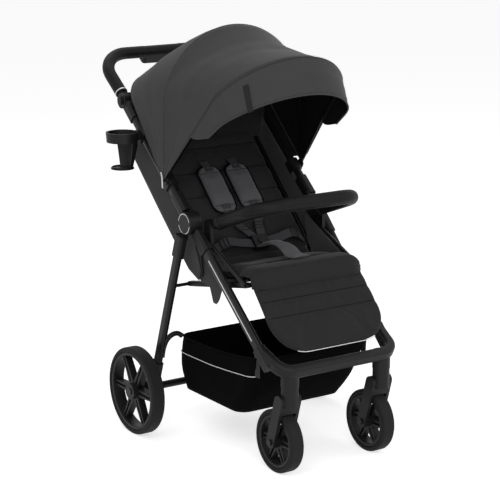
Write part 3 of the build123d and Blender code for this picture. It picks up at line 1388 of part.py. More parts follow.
front_hanger_low = (BASKET_RIM_HALF_W - BASKET_WALL, FRONT_HANGER_Y, BASKET_RIM_Z - HANGER_LAP)
rear_low_z = BASKET_REAR_RIM_Z - HANGER_LAP
rear_low_x = BASKET_RIM_HALF_W - wall_slope * (BASKET_RIM_Z - rear_low_z) - BASKET_WALL
rear_hanger_low = (rear_low_x, REAR_HANGER_Y, rear_low_z)
hangers = (
    (front_hanger_low, (front_hang_x, *front_hang_at)),
    (rear_hanger_low, (RAIL_X, *rear_hang_at)),
)
with BuildPart() as basket:
    for hem, lift, mode in ((0, 0, Mode.ADD), (BASKET_WALL, BASKET_WALL, Mode.SUBTRACT)):
        for level, half_w, front_y, rear_y in basket_sizes:
            with BuildSketch(Plane.XY.offset(level if level == BASKET_RIM_Z else level + lift)):
                with Locations((0, (front_y + rear_y) / 2)):
                    RectangleRounded(2 * (half_w - hem), rear_y - front_y - 2 * hem, BASKET_CORNER - hem)
        loft(mode=mode)
    with BuildSketch(side_plane(-BASKET_RIM_HALF_W)):
        with BuildLine():
            sag_front = (BASKET_RIM_FRONT_Y, BASKET_RIM_Z)
            sag_rear = (BASKET_RIM_REAR_Y, BASKET_REAR_RIM_Z)
            rim_end = (BASKET_RIM_REAR_Y, BASKET_RIM_Z)
            ThreePointArc(sag_front, (rim_mid_y, rim_mid_z - BASKET_SAG), sag_rear)
            Line(sag_rear, rim_end)
            Line(rim_end, sag_front)
        make_face()
    extrude(amount=2 * BASKET_RIM_HALF_W, mode=Mode.SUBTRACT)
    for low, high in hangers:
        with BuildSketch(Plane(origin=low, x_dir=(0, 1, 0), z_dir=Vector(*high) - Vector(*low))):
            Rectangle(HANGER_W, HANGER_T)
        extrude(amount=(Vector(*high) - Vector(*low)).length)
    mirror(about=Plane.YZ)
save(basket, "basket")


# Cup holder: a flared ring over a tapered cup that is cut away outside, clamped to the right handle tube

cup_on_tube = polar(HINGE, HANDLE_ANGLE, CUP_AT)
cup_x = HANDLE_TUBE_X + HANDLE_TUBE_W / 2 + CUP_CLAMP_WALL + CUP_GAP_X + CUP_WALL + CUP_R
cup_top = (cup_x, cup_on_tube[0], cup_on_tube[1] + CUP_RING_H / 2)
cup_section = Plane(origin=cup_top, x_dir=(1, 0, 0), z_dir=(0, -1, 0))
cup_axis = Axis(cup_top, (0, 0, 1))
cup_floor = CUP_WALL - CUP_H
with BuildPart() as cup:
    with BuildSketch(cup_section):
        Polygon(
            (0, 0),
            (CUP_R + CUP_WALL + CUP_FLARE, 0),
            (CUP_R + CUP_WALL, -CUP_RING_H),
            (CUP_R + CUP_WALL, -CUP_TAPER_AT),
            (CUP_BASE_R + CUP_WALL, cup_floor),
            (CUP_BASE_R + CUP_WALL + CUP_LIP, cup_floor),
            (CUP_BASE_R + CUP_WALL + CUP_LIP, -CUP_H),
            (0, -CUP_H),
            align=None,
        )
    revolve(axis=cup_axis)
    arm_x = HANDLE_TUBE_X + HANDLE_TUBE_W / 2 + CUP_CLAMP_WALL / 2
    with BuildSketch(side_plane(arm_x)):
        with Locations(cup_on_tube):
            Rectangle(CUP_ARM_W, CUP_RING_H)
    extrude(amount=cup_x - CUP_R - CUP_WALL / 2 - arm_x)
    with BuildSketch(cup_section):
        Polygon(
            (0, 0),
            (CUP_R, 0),
            (CUP_R, -CUP_RING_H),
            (CUP_R + CUP_RELIEF, -CUP_RING_H),
            (CUP_R + CUP_RELIEF, -CUP_TAPER_AT),
            (CUP_BASE_R, cup_floor),
            (0, cup_floor),
            align=None,
        )
    revolve(axis=cup_axis, mode=Mode.SUBTRACT)
    with BuildSketch(Plane.XY.offset(cup_top[2] - CUP_RING_H - CUP_WINDOW_H)):
        with Locations((cup_x + 2 * CUP_R - CUP_WINDOW_BACK, cup_on_tube[0])):
            Rectangle(4 * CUP_R, 4 * CUP_R)
    extrude(amount=CUP_WINDOW_H, mode=Mode.SUBTRACT)
    add(tube_clamp(CUP_AT, CUP_CLAMP_L, CUP_CLAMP_WALL).part)
with BuildPart() as cup_holder:
    mirror(cup.part, about=Plane.YZ)
save(cup_holder, "cup_holder")
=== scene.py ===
"""Dresses a folding baby stroller: frame finishes, sewn pads, canopy cloth, basket and a pale studio."""

import json
import math

import bpy
import numpy as np
from bpy.props import FloatProperty, FloatVectorProperty, IntProperty, PointerProperty
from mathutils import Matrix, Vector, noise


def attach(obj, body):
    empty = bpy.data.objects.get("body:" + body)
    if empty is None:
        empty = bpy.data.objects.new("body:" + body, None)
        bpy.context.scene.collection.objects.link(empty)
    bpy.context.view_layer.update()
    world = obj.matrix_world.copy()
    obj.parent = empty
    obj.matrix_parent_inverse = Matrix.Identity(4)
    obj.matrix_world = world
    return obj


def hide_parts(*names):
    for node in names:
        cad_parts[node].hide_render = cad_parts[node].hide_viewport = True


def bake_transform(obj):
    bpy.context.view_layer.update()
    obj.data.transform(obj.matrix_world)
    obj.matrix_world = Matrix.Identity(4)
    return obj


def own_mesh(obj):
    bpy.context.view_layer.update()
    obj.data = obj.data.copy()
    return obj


bl_info = {
    "name": "Folding Stroller Dressing",
    "version": (1, 0, 0),
    "blender": (4, 5, 0),
    "location": "View3D > Sidebar > Stroller",
    "description": "Builds the cloth, pads and finishes of a folding baby stroller around its frame",
    "category": "Object",
}

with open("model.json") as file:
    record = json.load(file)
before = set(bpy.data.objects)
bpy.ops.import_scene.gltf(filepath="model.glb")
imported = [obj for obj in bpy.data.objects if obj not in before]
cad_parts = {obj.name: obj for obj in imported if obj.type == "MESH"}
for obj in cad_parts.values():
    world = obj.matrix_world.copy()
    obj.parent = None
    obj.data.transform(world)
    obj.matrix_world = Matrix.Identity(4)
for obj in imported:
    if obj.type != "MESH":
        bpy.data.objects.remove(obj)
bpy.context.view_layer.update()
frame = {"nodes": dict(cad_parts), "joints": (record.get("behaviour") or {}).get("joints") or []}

MM = 0.001
ACROSS = (1.0, 0.0, 0.0)
SIDES = ((1, "left"), (-1, "right"))

# Side view angles in degrees, from the rear (+Y) towards up (+Z)
HANDLE_ANGLE = 40.5
GRIP_ANGLE = 36.0
BACK_ANGLE = 44.77
SEAT_ANGLE = 169.0
CALF_ANGLE = 227.7
BUMPER_ANGLE = 159.6

# Canopy arches in millimetres: angle, half-width, shoulder radius, crown radius, corner radius
REAR_EDGE = (47.0, 210.0, 248.0, 362.0, 87.0)
REAR_STAY = (68.0, 217.0, 212.0, 368.0, 115.0)
MAIN_BOW = (90.0, 218.0, 190.0, 393.0, 145.0)
MID_STAY = (110.5, 205.0, 238.0, 371.0, 110.0)
FRONT_BOW = (131.0, 198.0, 298.0, 447.0, 97.0)
VISOR_EDGE = (143.5, 199.0, 267.0, 416.0, 96.0)
CANOPY_BASE_X = 222.6
CANOPY_BASE_R = 8.0
VISOR_START = 172.0
VISOR_END = 226.0
CURTAIN_START = 185.0
CURTAIN_HALF_W = 184.0
STRIP_X = 197.0
STRIP_RISE = 14.6
STRIP_END = 400.0

# Hood cloth in millimetres: the curtain's lap on the backrest, its depth there, its slack and folds; creases,
# folds and draw of the panels; welts; visor tab, whose place and top are shares of the visor; pull tape
CURTAIN_LAP = 26.0
CURTAIN_SINK = 13.0
CURTAIN_SLACK = 7.0
CURTAIN_FOLD = 2.5
HOOD_CREASE = 1.6
HOOD_FOLD = 1.8
HOOD_DRAW = 1.0
FRONT_WELT_START = 40.0
FRONT_WELT_R = 1.3
MAIN_WELT_R = 0.9
TAB_AT = 0.63
TAB_TOP = 0.28
TAB_W = 15.0
TAB_T = 2.0
TAPE_W = 5.0
TAPE_T = 1.2

# Push handle and bumper bar in millimetres: half-width, first point, reach, bend radius, diameter
GRIP_BAR = (199.0, 34.0, 181.0, 85.0, 32.0)
BUMPER_BAR = (158.5, 24.0, 218.0, 72.0, 36.0)
LATCH_HALF_L = 56.0

# Sewn channels in millimetres from the low end of the backrest and from the top of the calf rest
BACK_SEAMS = (46.0, 123.0, 200.0, 277.0, 354.0)
CALF_SEAMS = (14.0, 48.0, 94.0)
PAD_SEAMS = (22.0, 128.0)
# Diameter in millimetres of the dark cord over each seam of a sewn pad: the seam is real, its dark line is
# painted shade of the groove
SEAM_SHADE_CORD = 1.6

# How a pad is sewn and stuffed: height left in a channel, its half-width in millimetres, draw of the sides,
# air pressure, spare cloth, fill
CHANNEL_SHARE = 0.45
CHANNEL_HALF_W = 20.0
WAIST_SHARE = 0.012
PAD_PRESSURE = 4.0
CROTCH_PRESSURE = 2.0
PAD_EASE = 0.02

# Shapes of the seat's pieces in millimetres, the calf cord's start in degrees, widening as a factor
BACK_FOLD_R = 14.0
BACK_FOLD_LAP = 26.0
BACK_BAR_X = 175.0
BACK_BAR_D = 13.0
CALF_FLARE = 10.0
CALF_CORNER = 96.0
CALF_CORD_START = 248.0
PAD_CORNER = 28.0
PAD_WIDER = 1.36
PAD_LIFT = 12.0
PAD_BINDING_RISE = 5.0
PAD_BINDING_R = 1.7
SLIDE_SPARE = 3.0
SLIDE_HALF_L = 11.0
SLIDE_R = 2.2
SLIDE_BAR_R = 2.0
CROTCH_REACH = 36.0
CROTCH_WIDER = 1.25

# Apron in millimetres from the calf pivot: reach along the seat or the calf rest and rise above it; the turn
# between them as its angle in degrees and its reach
APRON_ON_SEAT = ((-64, 28), (-50, 38), (-20, 41.5))
APRON_TURN = (112.0, 40.0)
APRON_ON_CALF = ((2, 29), (20, 23), (29, 13))
APRON_T = 2.0

# Seat wing edges as length along the handle tube and depth behind it, side panel edges as (Y, Z)
WING_FRONT = ((-100, 76), (-38, 44), (30, 9), (70, 2), (110, -1), (342, -3))
WING_REAR = ((-112, 104), (-60, 121), (0, 120), (150, 115), (330, 106))
WING_X = 187.3
PANEL_FRONT = ((-65.5, 541), (-154, 459), (-166, 438), (-150, 400), (-136, 388))
PANEL_REAR = ((-34, 545), (-6, 486), (-62, 434), (-106, 428), (-122, 390))
PANEL_X = 179.5
GUSSET_FRONT = ((-50, 568), (-110, 538), (-214, 488))
GUSSET_REAR = ((-38, 560), (-50, 512), (-74, 466))
GUSSET_X = 168.0

# Basket in millimetres: level, half-width, front Y, rear Y
BASKET_FLOOR = (112.0, 163.0, -221.0, 60.0)
BASKET_RIM = (286.0, 172.0, -329.0, 62.0)
BASKET_CORNER = 34.0
BASKET_REAR_DROP = 28.0
BASKET_SAG = 10.0
BASKET_BULGE = 7.0
BASKET_CREASE = 2.2
FLOOR_SAG = 3.0
BASKET_PIPING = 0.71
PIPING_END_X = 160.0
FRONT_HANGER_Y = -307.0
HANGER_W = 20.0
BASKET_ARM = ((166, 54, 256), (178, 58, 264), (194, 60, 262), (209, 62, 250), (220, 62, 228), (226, 60, 204))
ARM_D = 14.0
FLOOR_RINGS = (0.97, 0.9, 0.75, 0.5, 0.25, 0.02)

# Bar covers: sides and creases per metre; crease height, thickness, gaps to the bar and seam lift in millimetres
COVER_SIDES = 28
CREASES = 26
CREASE_RISE = 0.35
COVER_T = 0.9
GRIP_GAP = 0.7
BUMPER_GAP = 0.8
CUFF_GAP = 1.6
SEAM_LIFT = 0.2

# Studio in metres and watts: lamp name, place, size, power; then the lamps' aim, the floor and its glow
LAMPS = (
    ("Key lamp", (-2.6, -2.4, 3.4), 2.6, 52.0),
    ("Front lamp", (-0.9, -3.4, 1.3), 1.8, 30.0),
    ("Fill lamp", (2.8, -2.6, 2.2), 2.4, 22.0),
    ("Top lamp", (0.2, 1.6, 3.6), 2.8, 26.0),
)
LAMP_AIM = (0.0, -0.05, 0.55)
FLOOR_HALF = 40.0
FLOOR_GLOW = 0.62
SKY_LIGHT = 0.36


def linear(code):
    """Linear colour of an sRGB hex value."""
    shares = [int(code[i : i + 2], 16) / 255 for i in (1, 3, 5)]
    return tuple(s / 12.92 if s <= 0.04045 else ((s + 0.055) / 1.055) ** 2.4 for s in shares)


def colour_property(name, code, description):
    """Colour that a user may change, given as an sRGB hex value."""
    return FloatVectorProperty(
        name=name, description=description, subtype="COLOR", size=3, min=0, max=1, default=linear(code)
    )


def length_property(name, size_mm, description):
    """Length that a user may change, given in millimetres."""
    return FloatProperty(
        name=name, description=description, unit="LENGTH", subtype="DISTANCE", min=0, default=size_mm * MM
    )


class StrollerColours(bpy.types.PropertyGroup):
    """Colours of the stroller's materials."""

    paint: colour_property("Frame paint", "#111112", "Powder coat on the tubes")
    plastic: colour_property("Plastic", "#131314", "Moulded joints, forks and clips")
    rim: colour_property("Rims", "#161617", "Spoked wheel mouldings")
    tyre: colour_property("Tyres", "#191919", "Foamed rubber tyres")
    steel: colour_property("Steel", "#8d8f92", "Bare axles and pins")
    bright: colour_property("Bright trim", "#b4b6b9", "Hinge arcs, leg lines and grip rings")
    leather: colour_property("Leatherette", "#101010", "Cover of the push handle and bumper bar")
    canopy: colour_property("Canopy cloth", "#404041", "Outside of the hood")
    lining: colour_property("Lining", "#0f0f10", "Inside of the hood")
    seat: colour_property("Seat cloth", "#272728", "Seat, backrest and calf rest")
    pads: colour_property("Harness pads", "#58585b", "Shoulder pads and crotch pad")
    webbing: colour_property("Webbing", "#3c3c3f", "Harness straps and tabs")
    basket: colour_property("Basket cloth", "#09090a", "Shopping basket")
    piping: colour_property("Piping", "#e4e4e2", "White cord in the seams")
    floor: colour_property("Floor", "#f4f4f4", "Studio floor")


class StrollerSizes(bpy.types.PropertyGroup):
    """Sizes of the soft goods."""

    mesh_step: length_property("Pad mesh step", 7.0, "Spacing of the points on a pad")
    swell: length_property("Pad swell", 9.0, "Furthest that a sewn pad may puff up")
    cloth: length_property("Cloth", 1.3, "Thickness of the canopy and basket cloth")
    piping: length_property("Piping", 2.1, "Diameter of the white cord in the seams")
    binding: length_property("Binding", 4.2, "Diameter of a bound cloth edge")
    stitch: length_property("Stitch", 4.0, "Length of one stitch")
    thread: length_property("Thread", 0.9, "Thickness of the sewing thread")
    strap_w: length_property("Strap width", 25.0, "Width of the harness webbing")
    strap_t: length_property("Strap thickness", 1.6, "Thickness of the harness webbing")
    sim_frames: IntProperty(
        name="Swell steps", description="Steps of the pads' cloth simulation", min=4, max=40, default=18
    )


class StrollerStage(bpy.types.PropertyGroup):
    """Studio and camera."""

    lens: FloatProperty(
        name="Lens", description="Focal length in millimetres on a 36 mm sensor", min=10, default=124.83
    )
    eye: FloatVectorProperty(
        name="Camera", description="Camera position", subtype="TRANSLATION", default=(-2.5166, -3.749, 1.5631)
    )
    yaw: FloatProperty(
        name="Yaw", description="Turn of the view from +Y", subtype="ANGLE", default=math.radians(34.05)
    )
    pitch: FloatProperty(
        name="Pitch", description="Fall of the view", subtype="ANGLE", default=math.radians(13.48)
    )


def soft_sizes():
    """Sizes of the soft goods, as set in the scene."""
    return bpy.context.scene.stroller_sizes


def add_node(tree, kind, sockets=None, **settings):
    """Add a node with its settings, and give each named socket a value or a link."""
    node = tree.nodes.new(kind)
    for name, value in settings.items():
        setattr(node, name, value)
    for name, value in (sockets or {}).items():
        if isinstance(value, bpy.types.NodeSocket):
            tree.links.new(value, node.inputs[name])
        else:
            node.inputs[name].default_value = value
    return node


def per_metre(size_mm):
    """Noise scale whose features are about this many millimetres wide."""
    return 1.0 / (size_mm * MM)


def stripes(spacing_mm):
    """Wave scale whose bands repeat every so many millimetres: the node counts 20 radians to a unit."""
    return 2 * math.pi / (20 * spacing_mm * MM)


# Patches of slow change in millimetres, on hard surfaces and on cloth
CLOUD_MM = 45.0
SLUB_MM = 60.0
# Real pebbles of leatherette are about 1 mm across; they are drawn at 2 mm so that they show
PEBBLE_MM = 2.0


def shade(colour, factor):
    """A colour made darker or lighter, with full opacity."""
    return (*(min(1.0, channel * factor) for channel in colour), 1.0)


def start_material(name, sockets):
    """New material with one Principled shader, with its tree and the shader."""
    material = bpy.data.materials.new(name)
    material.use_nodes = True
    tree = material.node_tree
    tree.nodes.clear()
    shader = add_node(tree, "ShaderNodeBsdfPrincipled", sockets)
    add_node(tree, "ShaderNodeOutputMaterial", {"Surface": shader.outputs[0]})
    return material, tree, shader


def join(tree, shader, tint, bump, gloss=None):
    """Link a pattern's tint, height and gloss to the shader."""
    tree.links.new(tint.outputs[2], shader.inputs["Base Color"])
    tree.links.new(bump.outputs[0], shader.inputs["Normal"])
    if gloss:
        tree.links.new(gloss.outputs[0], shader.inputs["Roughness"])


def grained(name, colour, grain_mm, roughness, bump_mm, contrast=0.25, **sockets):
    """Moulded or sprayed surface: even colour, a fine grain in height and a slow change in gloss."""
    named = {key.replace("_", " ").title(): value for key, value in sockets.items()}
    material, tree, shader = start_material(name, {"Specular IOR Level": 0.2, **named})
    where = add_node(tree, "ShaderNodeTexCoord").outputs["Object"]
    grain, cloud = (
        add_node(tree, "ShaderNodeTexNoise", {"Vector": where, "Scale": per_metre(size), "Detail": detail})
        for size, detail in ((grain_mm, 3.0), (CLOUD_MM, 2.0))
    )
    tint = add_node(
        tree,
        "ShaderNodeMix",
        {0: cloud.outputs["Fac"], 6: shade(colour, 1 - contrast), 7: shade(colour, 1 + contrast)},
        data_type="RGBA",
    )
    gloss = add_node(
        tree,
        "ShaderNodeMapRange",
        {"Value": cloud.outputs["Fac"], "To Min": roughness - 0.06, "To Max": roughness + 0.06},
    )
    bump = add_node(
        tree, "ShaderNodeBump", {"Height": grain.outputs["Fac"], "Strength": 0.35, "Distance": bump_mm * MM}
    )
    join(tree, shader, tint, bump, gloss)
    return material


def woven(name, colour, thread_mm, contrast, bump_mm, sheen, specular=0.12, mottle_mm=2.4):
    """Woven polyester: crossing threads in height and tone, mottled yarn and a soft sheen at its edges."""
    material, tree, shader = start_material(
        name,
        {"Roughness": 0.86, "Specular IOR Level": specular, "Sheen Weight": sheen, "Sheen Roughness": 0.45},
    )
    place = add_node(tree, "ShaderNodeTexCoord")
    waves = [
        add_node(
            tree,
            "ShaderNodeTexWave",
            {"Vector": place.outputs["UV"], "Scale": stripes(thread_mm)},
            wave_type="BANDS",
            bands_direction=axis,
        ).outputs["Fac"]
        for axis in ("X", "Y")
    ]
    weave = add_node(tree, "ShaderNodeMath", {0: waves[0], 1: waves[1]}, operation="MULTIPLY")
    yarn = add_node(
        tree,
        "ShaderNodeTexNoise",
        {"Vector": place.outputs["UV"], "Scale": per_metre(mottle_mm), "Detail": 2.0},
    )
    slub = add_node(
        tree, "ShaderNodeTexNoise", {"Vector": place.outputs["Object"], "Scale": per_metre(SLUB_MM)}
    )
    tone = add_node(tree, "ShaderNodeMath", {0: weave.outputs[0], 1: yarn.outputs["Fac"]}, operation="ADD")
    spread = add_node(
        tree,
        "ShaderNodeMapRange",
        {"Value": tone.outputs[0], "From Min": 0.35, "From Max": 1.15, "To Min": 0.0, "To Max": 1.0},
    )
    cloth = add_node(
        tree,
        "ShaderNodeMix",
        {0: spread.outputs[0], 6: shade(colour, 1 - contrast), 7: shade(colour, 1 + contrast)},
        data_type="RGBA",
    )
    worn = add_node(
        tree, "ShaderNodeMapRange", {"Value": slub.outputs["Fac"], "To Min": 0.9, "To Max": 1.1}
    )
    tint = add_node(
        tree,
        "ShaderNodeMix",
        {0: 1.0, 6: cloth.outputs[2], 7: worn.outputs[0]},
        data_type="RGBA",
        blend_type="MULTIPLY",
    )
    bump = add_node(
        tree, "ShaderNodeBump", {"Height": tone.outputs[0], "Strength": 0.4, "Distance": bump_mm * MM}
    )
    join(tree, shader, tint, bump)
    return material


def leather_grain(name, colour):
    """Polyurethane leatherette: embossed pebbles with soft gloss on their tops and duller creases, and painted
    shade between the pebbles with painted light on their tops.
    """
    material, tree, shader = start_material(name, {"Specular IOR Level": 0.14})
    where = add_node(tree, "ShaderNodeTexCoord").outputs["Object"]
    pebble = add_node(
        tree, "ShaderNodeTexVoronoi", {"Vector": where, "Scale": per_metre(PEBBLE_MM)}, feature="SMOOTH_F1"
    )
    tops = add_node(
        tree,
        "ShaderNodeMapRange",
        {"Value": pebble.outputs["Distance"], "From Max": 0.7, "To Min": 1.0, "To Max": 0.0},
    )
    # Painted shade and light: the colour darkens between the pebbles and lightens on their tops
    tint = add_node(
        tree,
        "ShaderNodeMix",
        {0: tops.outputs[0], 6: shade(colour, 0.55), 7: shade(colour, 1.25)},
        data_type="RGBA",
    )
    gloss = add_node(tree, "ShaderNodeMapRange", {"Value": tops.outputs[0], "To Min": 0.62, "To Max": 0.4})
    bump = add_node(
        tree, "ShaderNodeBump", {"Height": tops.outputs[0], "Strength": 0.5, "Distance": 0.25 * MM}
    )
    join(tree, shader, tint, bump, gloss)
    return material


def make_materials():
    """Every finish of the stroller, by its plain name."""
    tone = bpy.context.scene.stroller_colours
    # Grained: grain in mm, roughness, bump in mm, contrast. Woven: thread in mm, contrast, bump in mm, sheen.
    # Real threads are under 1 mm; they are drawn at 2 to 3 mm so that they show
    return {
        # Sprayed and baked on steel tube: satin, with a fine orange peel
        "paint": grained("Powder-coated steel", tone.paint, 1.6, 0.36, 0.06, 0.2),
        # Spark-eroded mould faces: a dull even grain
        "plastic": grained("Moulded nylon", tone.plastic, 0.9, 0.48, 0.08, 0.15),
        # Glass-filled nylon: a little duller than the joints, with flow marks
        "rim": grained("Glass-filled nylon", tone.rim, 1.4, 0.5, 0.06, 0.2),
        # Foamed rubber: matt, with closed pores
        "tyre": grained("Foamed rubber", tone.tyre, 1.8, 0.74, 0.22, 0.18),
        # Turned and zinc plated: bright, with a slight haze
        "steel": grained("Zinc-plated steel", tone.steel, 1.2, 0.34, 0.02, 0.1, metallic=1.0),
        # Polished and anodised: clear streaks of light
        "bright": grained("Anodised aluminium", tone.bright, 0.8, 0.26, 0.01, 0.06, metallic=1.0),
        # Embossed film on felt: soft gloss on the pebbles' tops, with painted shade between them
        "leather": leather_grain("Leatherette", tone.leather),
        # Melange yarn in a plain weave: greyer than the frame, faintly mottled
        "canopy": woven("Melange canopy cloth", tone.canopy, 3.0, 0.16, 0.12, 0.12),
        # Dark plain lining: flat and dull
        "lining": woven("Polyester lining", tone.lining, 3.0, 0.12, 0.08, 0.0),
        # Fine oxford cloth over wadding: soft, with light catching the puffed rows
        "seat": woven("Oxford seat cloth", tone.seat, 3.0, 0.14, 0.12, 0.1),
        # Melange knit over foam: the palest cloth, with a soft edge
        "pads": woven("Melange pad cloth", tone.pads, 2.6, 0.18, 0.12, 0.14),
        # Ribbed polyester tape: close cords across its width
        "webbing": woven("Polyester webbing", tone.webbing, 2.2, 0.2, 0.2, 0.05),
        # Coated oxford: darker and tighter than the seat
        "basket": woven("Coated basket cloth", tone.basket, 3.0, 0.14, 0.1, 0.0, 0.03),
        # Plain braided cord: nearly white, faintly ribbed
        "piping": grained("White piping cord", tone.piping, 1.0, 0.6, 0.1, 0.04),
    }


CAD_FINISH = {
    "paint": "front_legs seat_frame rear_legs rear_axle_tube handle_tubes main_bow front_bow"
    " front_axle_left front_axle_right rear_axle_stubs",
    "plastic": "front_knuckles front_crossbar hinge_caps buckle swivel_lock_left swivel_lock_right"
    " calf_board caster_fork_left caster_fork_right rear_knuckles wheel_drums brake_pedal handle_knuckles"
    " handle_clevises canopy_clips cup_holder latch_housing tilt_button_left tilt_button_right"
    " fold_trigger seat_pan buckle_button",
    "rim": "front_rim_left front_rim_right rear_rim_left rear_rim_right",
    "tyre": "front_tyre_left front_tyre_right rear_tyre_left rear_tyre_right",
    "steel": "stem_bushes hinge_pins tilt_pins",
    "bright": "bright_trims grip_rings",
    "leather": "push_handle bumper_bar",
    "basket": "backrest_shell",
}
finishes = {}


def joint_place(name):
    """Where a joint's axis crosses the middle plane."""
    return Vector(next(joint["pos_m"] for joint in frame["joints"] if joint["name"] == name))


def side_way(angle):
    """Unit direction in the side view, at an angle from the rear towards up."""
    return Vector((0.0, math.cos(math.radians(angle)), math.sin(math.radians(angle))))


def node_points(node, side=0):
    """Points of a CAD node, or of its half on one side of the middle."""
    points = np.array([vertex.co for vertex in frame["nodes"][node].data.vertices])
    return points if side == 0 else points[points[:, 0] * side > 0]


def span(points, way):
    """Least and greatest reach of some points along a direction."""
    reach = points @ np.array(way)
    return float(reach.min()), float(reach.max())


def smooth_path(points, count):
    """Points evenly spread on a smooth line through the given ones."""
    knots = np.array([tuple(point) for point in points], float)
    padded = np.vstack([2 * knots[0] - knots[1], knots, 2 * knots[-1] - knots[-2]])
    path = []
    for step in np.linspace(0, len(knots) - 1, count):
        i = min(int(step), len(knots) - 2)
        t = step - i
        a, b, c, d = padded[i : i + 4]
        path.append(
            0.5 * (2 * b + (c - a) * t + (2 * a - 5 * b + 4 * c - d) * t**2 + (3 * b - a - 3 * c + d) * t**3)
        )
    return even_path(path, count)


def even_path(points, count):
    """The same line with its points evenly spaced."""
    line = np.array([tuple(point) for point in points], float)
    reach = np.concatenate([[0], np.cumsum(np.linalg.norm(np.diff(line, axis=0), axis=1))])
    wanted = np.linspace(0, reach[-1], count)
    return np.column_stack([np.interp(wanted, reach, line[:, k]) for k in range(3)])


def path_length(points):
    """Length of a line through points."""
    return float(np.linalg.norm(np.diff(np.array(points), axis=0), axis=1).sum())


def add_piece(name, points, faces, finish, uvs=None):
    """New piece from points and faces, with cloth coordinates where they are given."""
    mesh = bpy.data.meshes.new(name)
    mesh.from_pydata([tuple(point) for point in points], [], faces)
    if uvs is not None:
        layer = mesh.uv_layers.new(name="Cloth")
        layer.data.foreach_set("uv", np.array(uvs, np.float32).ravel())
    return show_mesh(name, mesh, finish)


def show_mesh(name, mesh, finish):
    """New object for a mesh, smooth and with one material."""
    mesh.polygons.foreach_set("use_smooth", [True] * len(mesh.polygons))
    mesh.materials.clear()
    mesh.materials.append(finishes[finish])
    mesh.update()
    piece = bpy.data.objects.new(name, mesh)
    bpy.context.scene.collection.objects.link(piece)
    return piece


def add_grid(name, rows, finish):
    """Sheet through rows of points, with its cloth coordinates in metres."""
    rows = np.array(rows, float)
    count, width = rows.shape[:2]
    across = np.zeros((count, width))
    across[:, 1:] = np.cumsum(np.linalg.norm(np.diff(rows, axis=1), axis=2), axis=1)
    across -= across[:, [width // 2]]
    down = np.zeros((count, width))
    down[1:] = np.cumsum(np.linalg.norm(np.diff(rows, axis=0), axis=2), axis=0)
    faces = []
    uvs = []
    for i in range(count - 1):
        for j in range(width - 1):
            corners = ((i, j), (i, j + 1), (i + 1, j + 1), (i + 1, j))
            faces.append([a * width + b for a, b in corners])
            uvs.extend((across[a, b], down[a, b]) for a, b in corners)
    return add_piece(name, rows.reshape(-1, 3), faces, finish, uvs)


def declare_sheet(rows):
    """Turn a piece's rows into an array, which is not used further."""
    rows = np.array(rows, float)


def thicken(piece, thickness, lining=None, offset=-1.0):
    """Give a sheet its thickness, with a lining on its inner face where one is named."""
    solid = piece.modifiers.new("Cloth thickness", "SOLIDIFY")
    solid.thickness = thickness
    solid.offset = offset
    if lining:
        piece.data.materials.append(finishes[lining])
        solid.material_offset = 1


def add_sheet(name, rows, finish):
    """Piece of cloth of the set thickness."""
    piece = add_grid(name, rows, finish)
    thicken(piece, soft_sizes().cloth, offset=0.0)
    declare_sheet(rows)
    return piece


def carry(piece, body):
    """Let a piece move with a body."""
    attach(piece, body)


def settle_pad(pad, node, body):
    """Let a pad stand for its solid and move with its body."""
    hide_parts(node)
    carry(pad, body)


def add_tube(name, path, radius, finish, sides=4):
    """Round cord along a path, closed at its ends."""
    curve = bpy.data.curves.new(name, "CURVE")
    curve.dimensions = "3D"
    curve.bevel_depth = radius
    curve.bevel_resolution = sides
    curve.use_fill_caps = True
    spline = curve.splines.new("POLY")
    spline.points.add(len(path) - 1)
    for point, place in zip(spline.points, path):
        point.co = (*place, 1.0)
    holder = bpy.data.objects.new(name, curve)
    mesh = bpy.data.meshes.new_from_object(holder)
    bpy.data.objects.remove(holder)
    bpy.data.curves.remove(curve)
    mesh.name = name
    return show_mesh(name, mesh, finish)


def add_stitches(name, paths, finish):
    """Rows of short threads along paths, each a slim spindle that lies on the cloth."""
    sizes = soft_sizes()
    half = sizes.stitch / 2
    thin = sizes.thread / 2
    points = []
    faces = []
    for path in paths:
        count = max(2, round(path_length(path) / (1.5 * sizes.stitch)))
        line = even_path(path, count + 1)
        for near, far in zip(line[:-1], line[1:]):
            middle = (near + far) / 2
            way = (far - near) / np.linalg.norm(far - near)
            side = np.cross(way, (0.31, 0.54, 0.78))
            side /= np.linalg.norm(side)
            top = np.cross(way, side)
            first = len(points)
            points.extend([middle - way * half, middle + way * half])
            points.extend(middle + thin * turn for turn in (side, top, -side, -top))
            for k in range(4):
                a, b = first + 2 + k, first + 2 + (k + 1) % 4
                faces.extend([[first, b, a], [first + 1, a, b]])
    return add_piece(name, points, faces, finish)


def add_ribbon(name, path, width_way, width, thickness, finish):
    """Flat webbing along a path."""
    way = np.array(width_way, float)
    way /= np.linalg.norm(way)
    shares = np.array([-1.0, -0.92, -0.5, 0.0, 0.5, 0.92, 1.0]) * width / 2
    rows = [[point + way * share for share in shares] for point in np.array(path)]
    piece = add_grid(name, rows, finish)
    thicken(piece, thickness, offset=0.0)
    return piece


def limit_moves(rest, moved, cap):
    """Moved points, held within a distance of where they were."""
    step = moved - rest
    reach = np.linalg.norm(step, axis=1, keepdims=True)
    return rest + step * np.minimum(1.0, cap / np.maximum(reach, 1e-9))


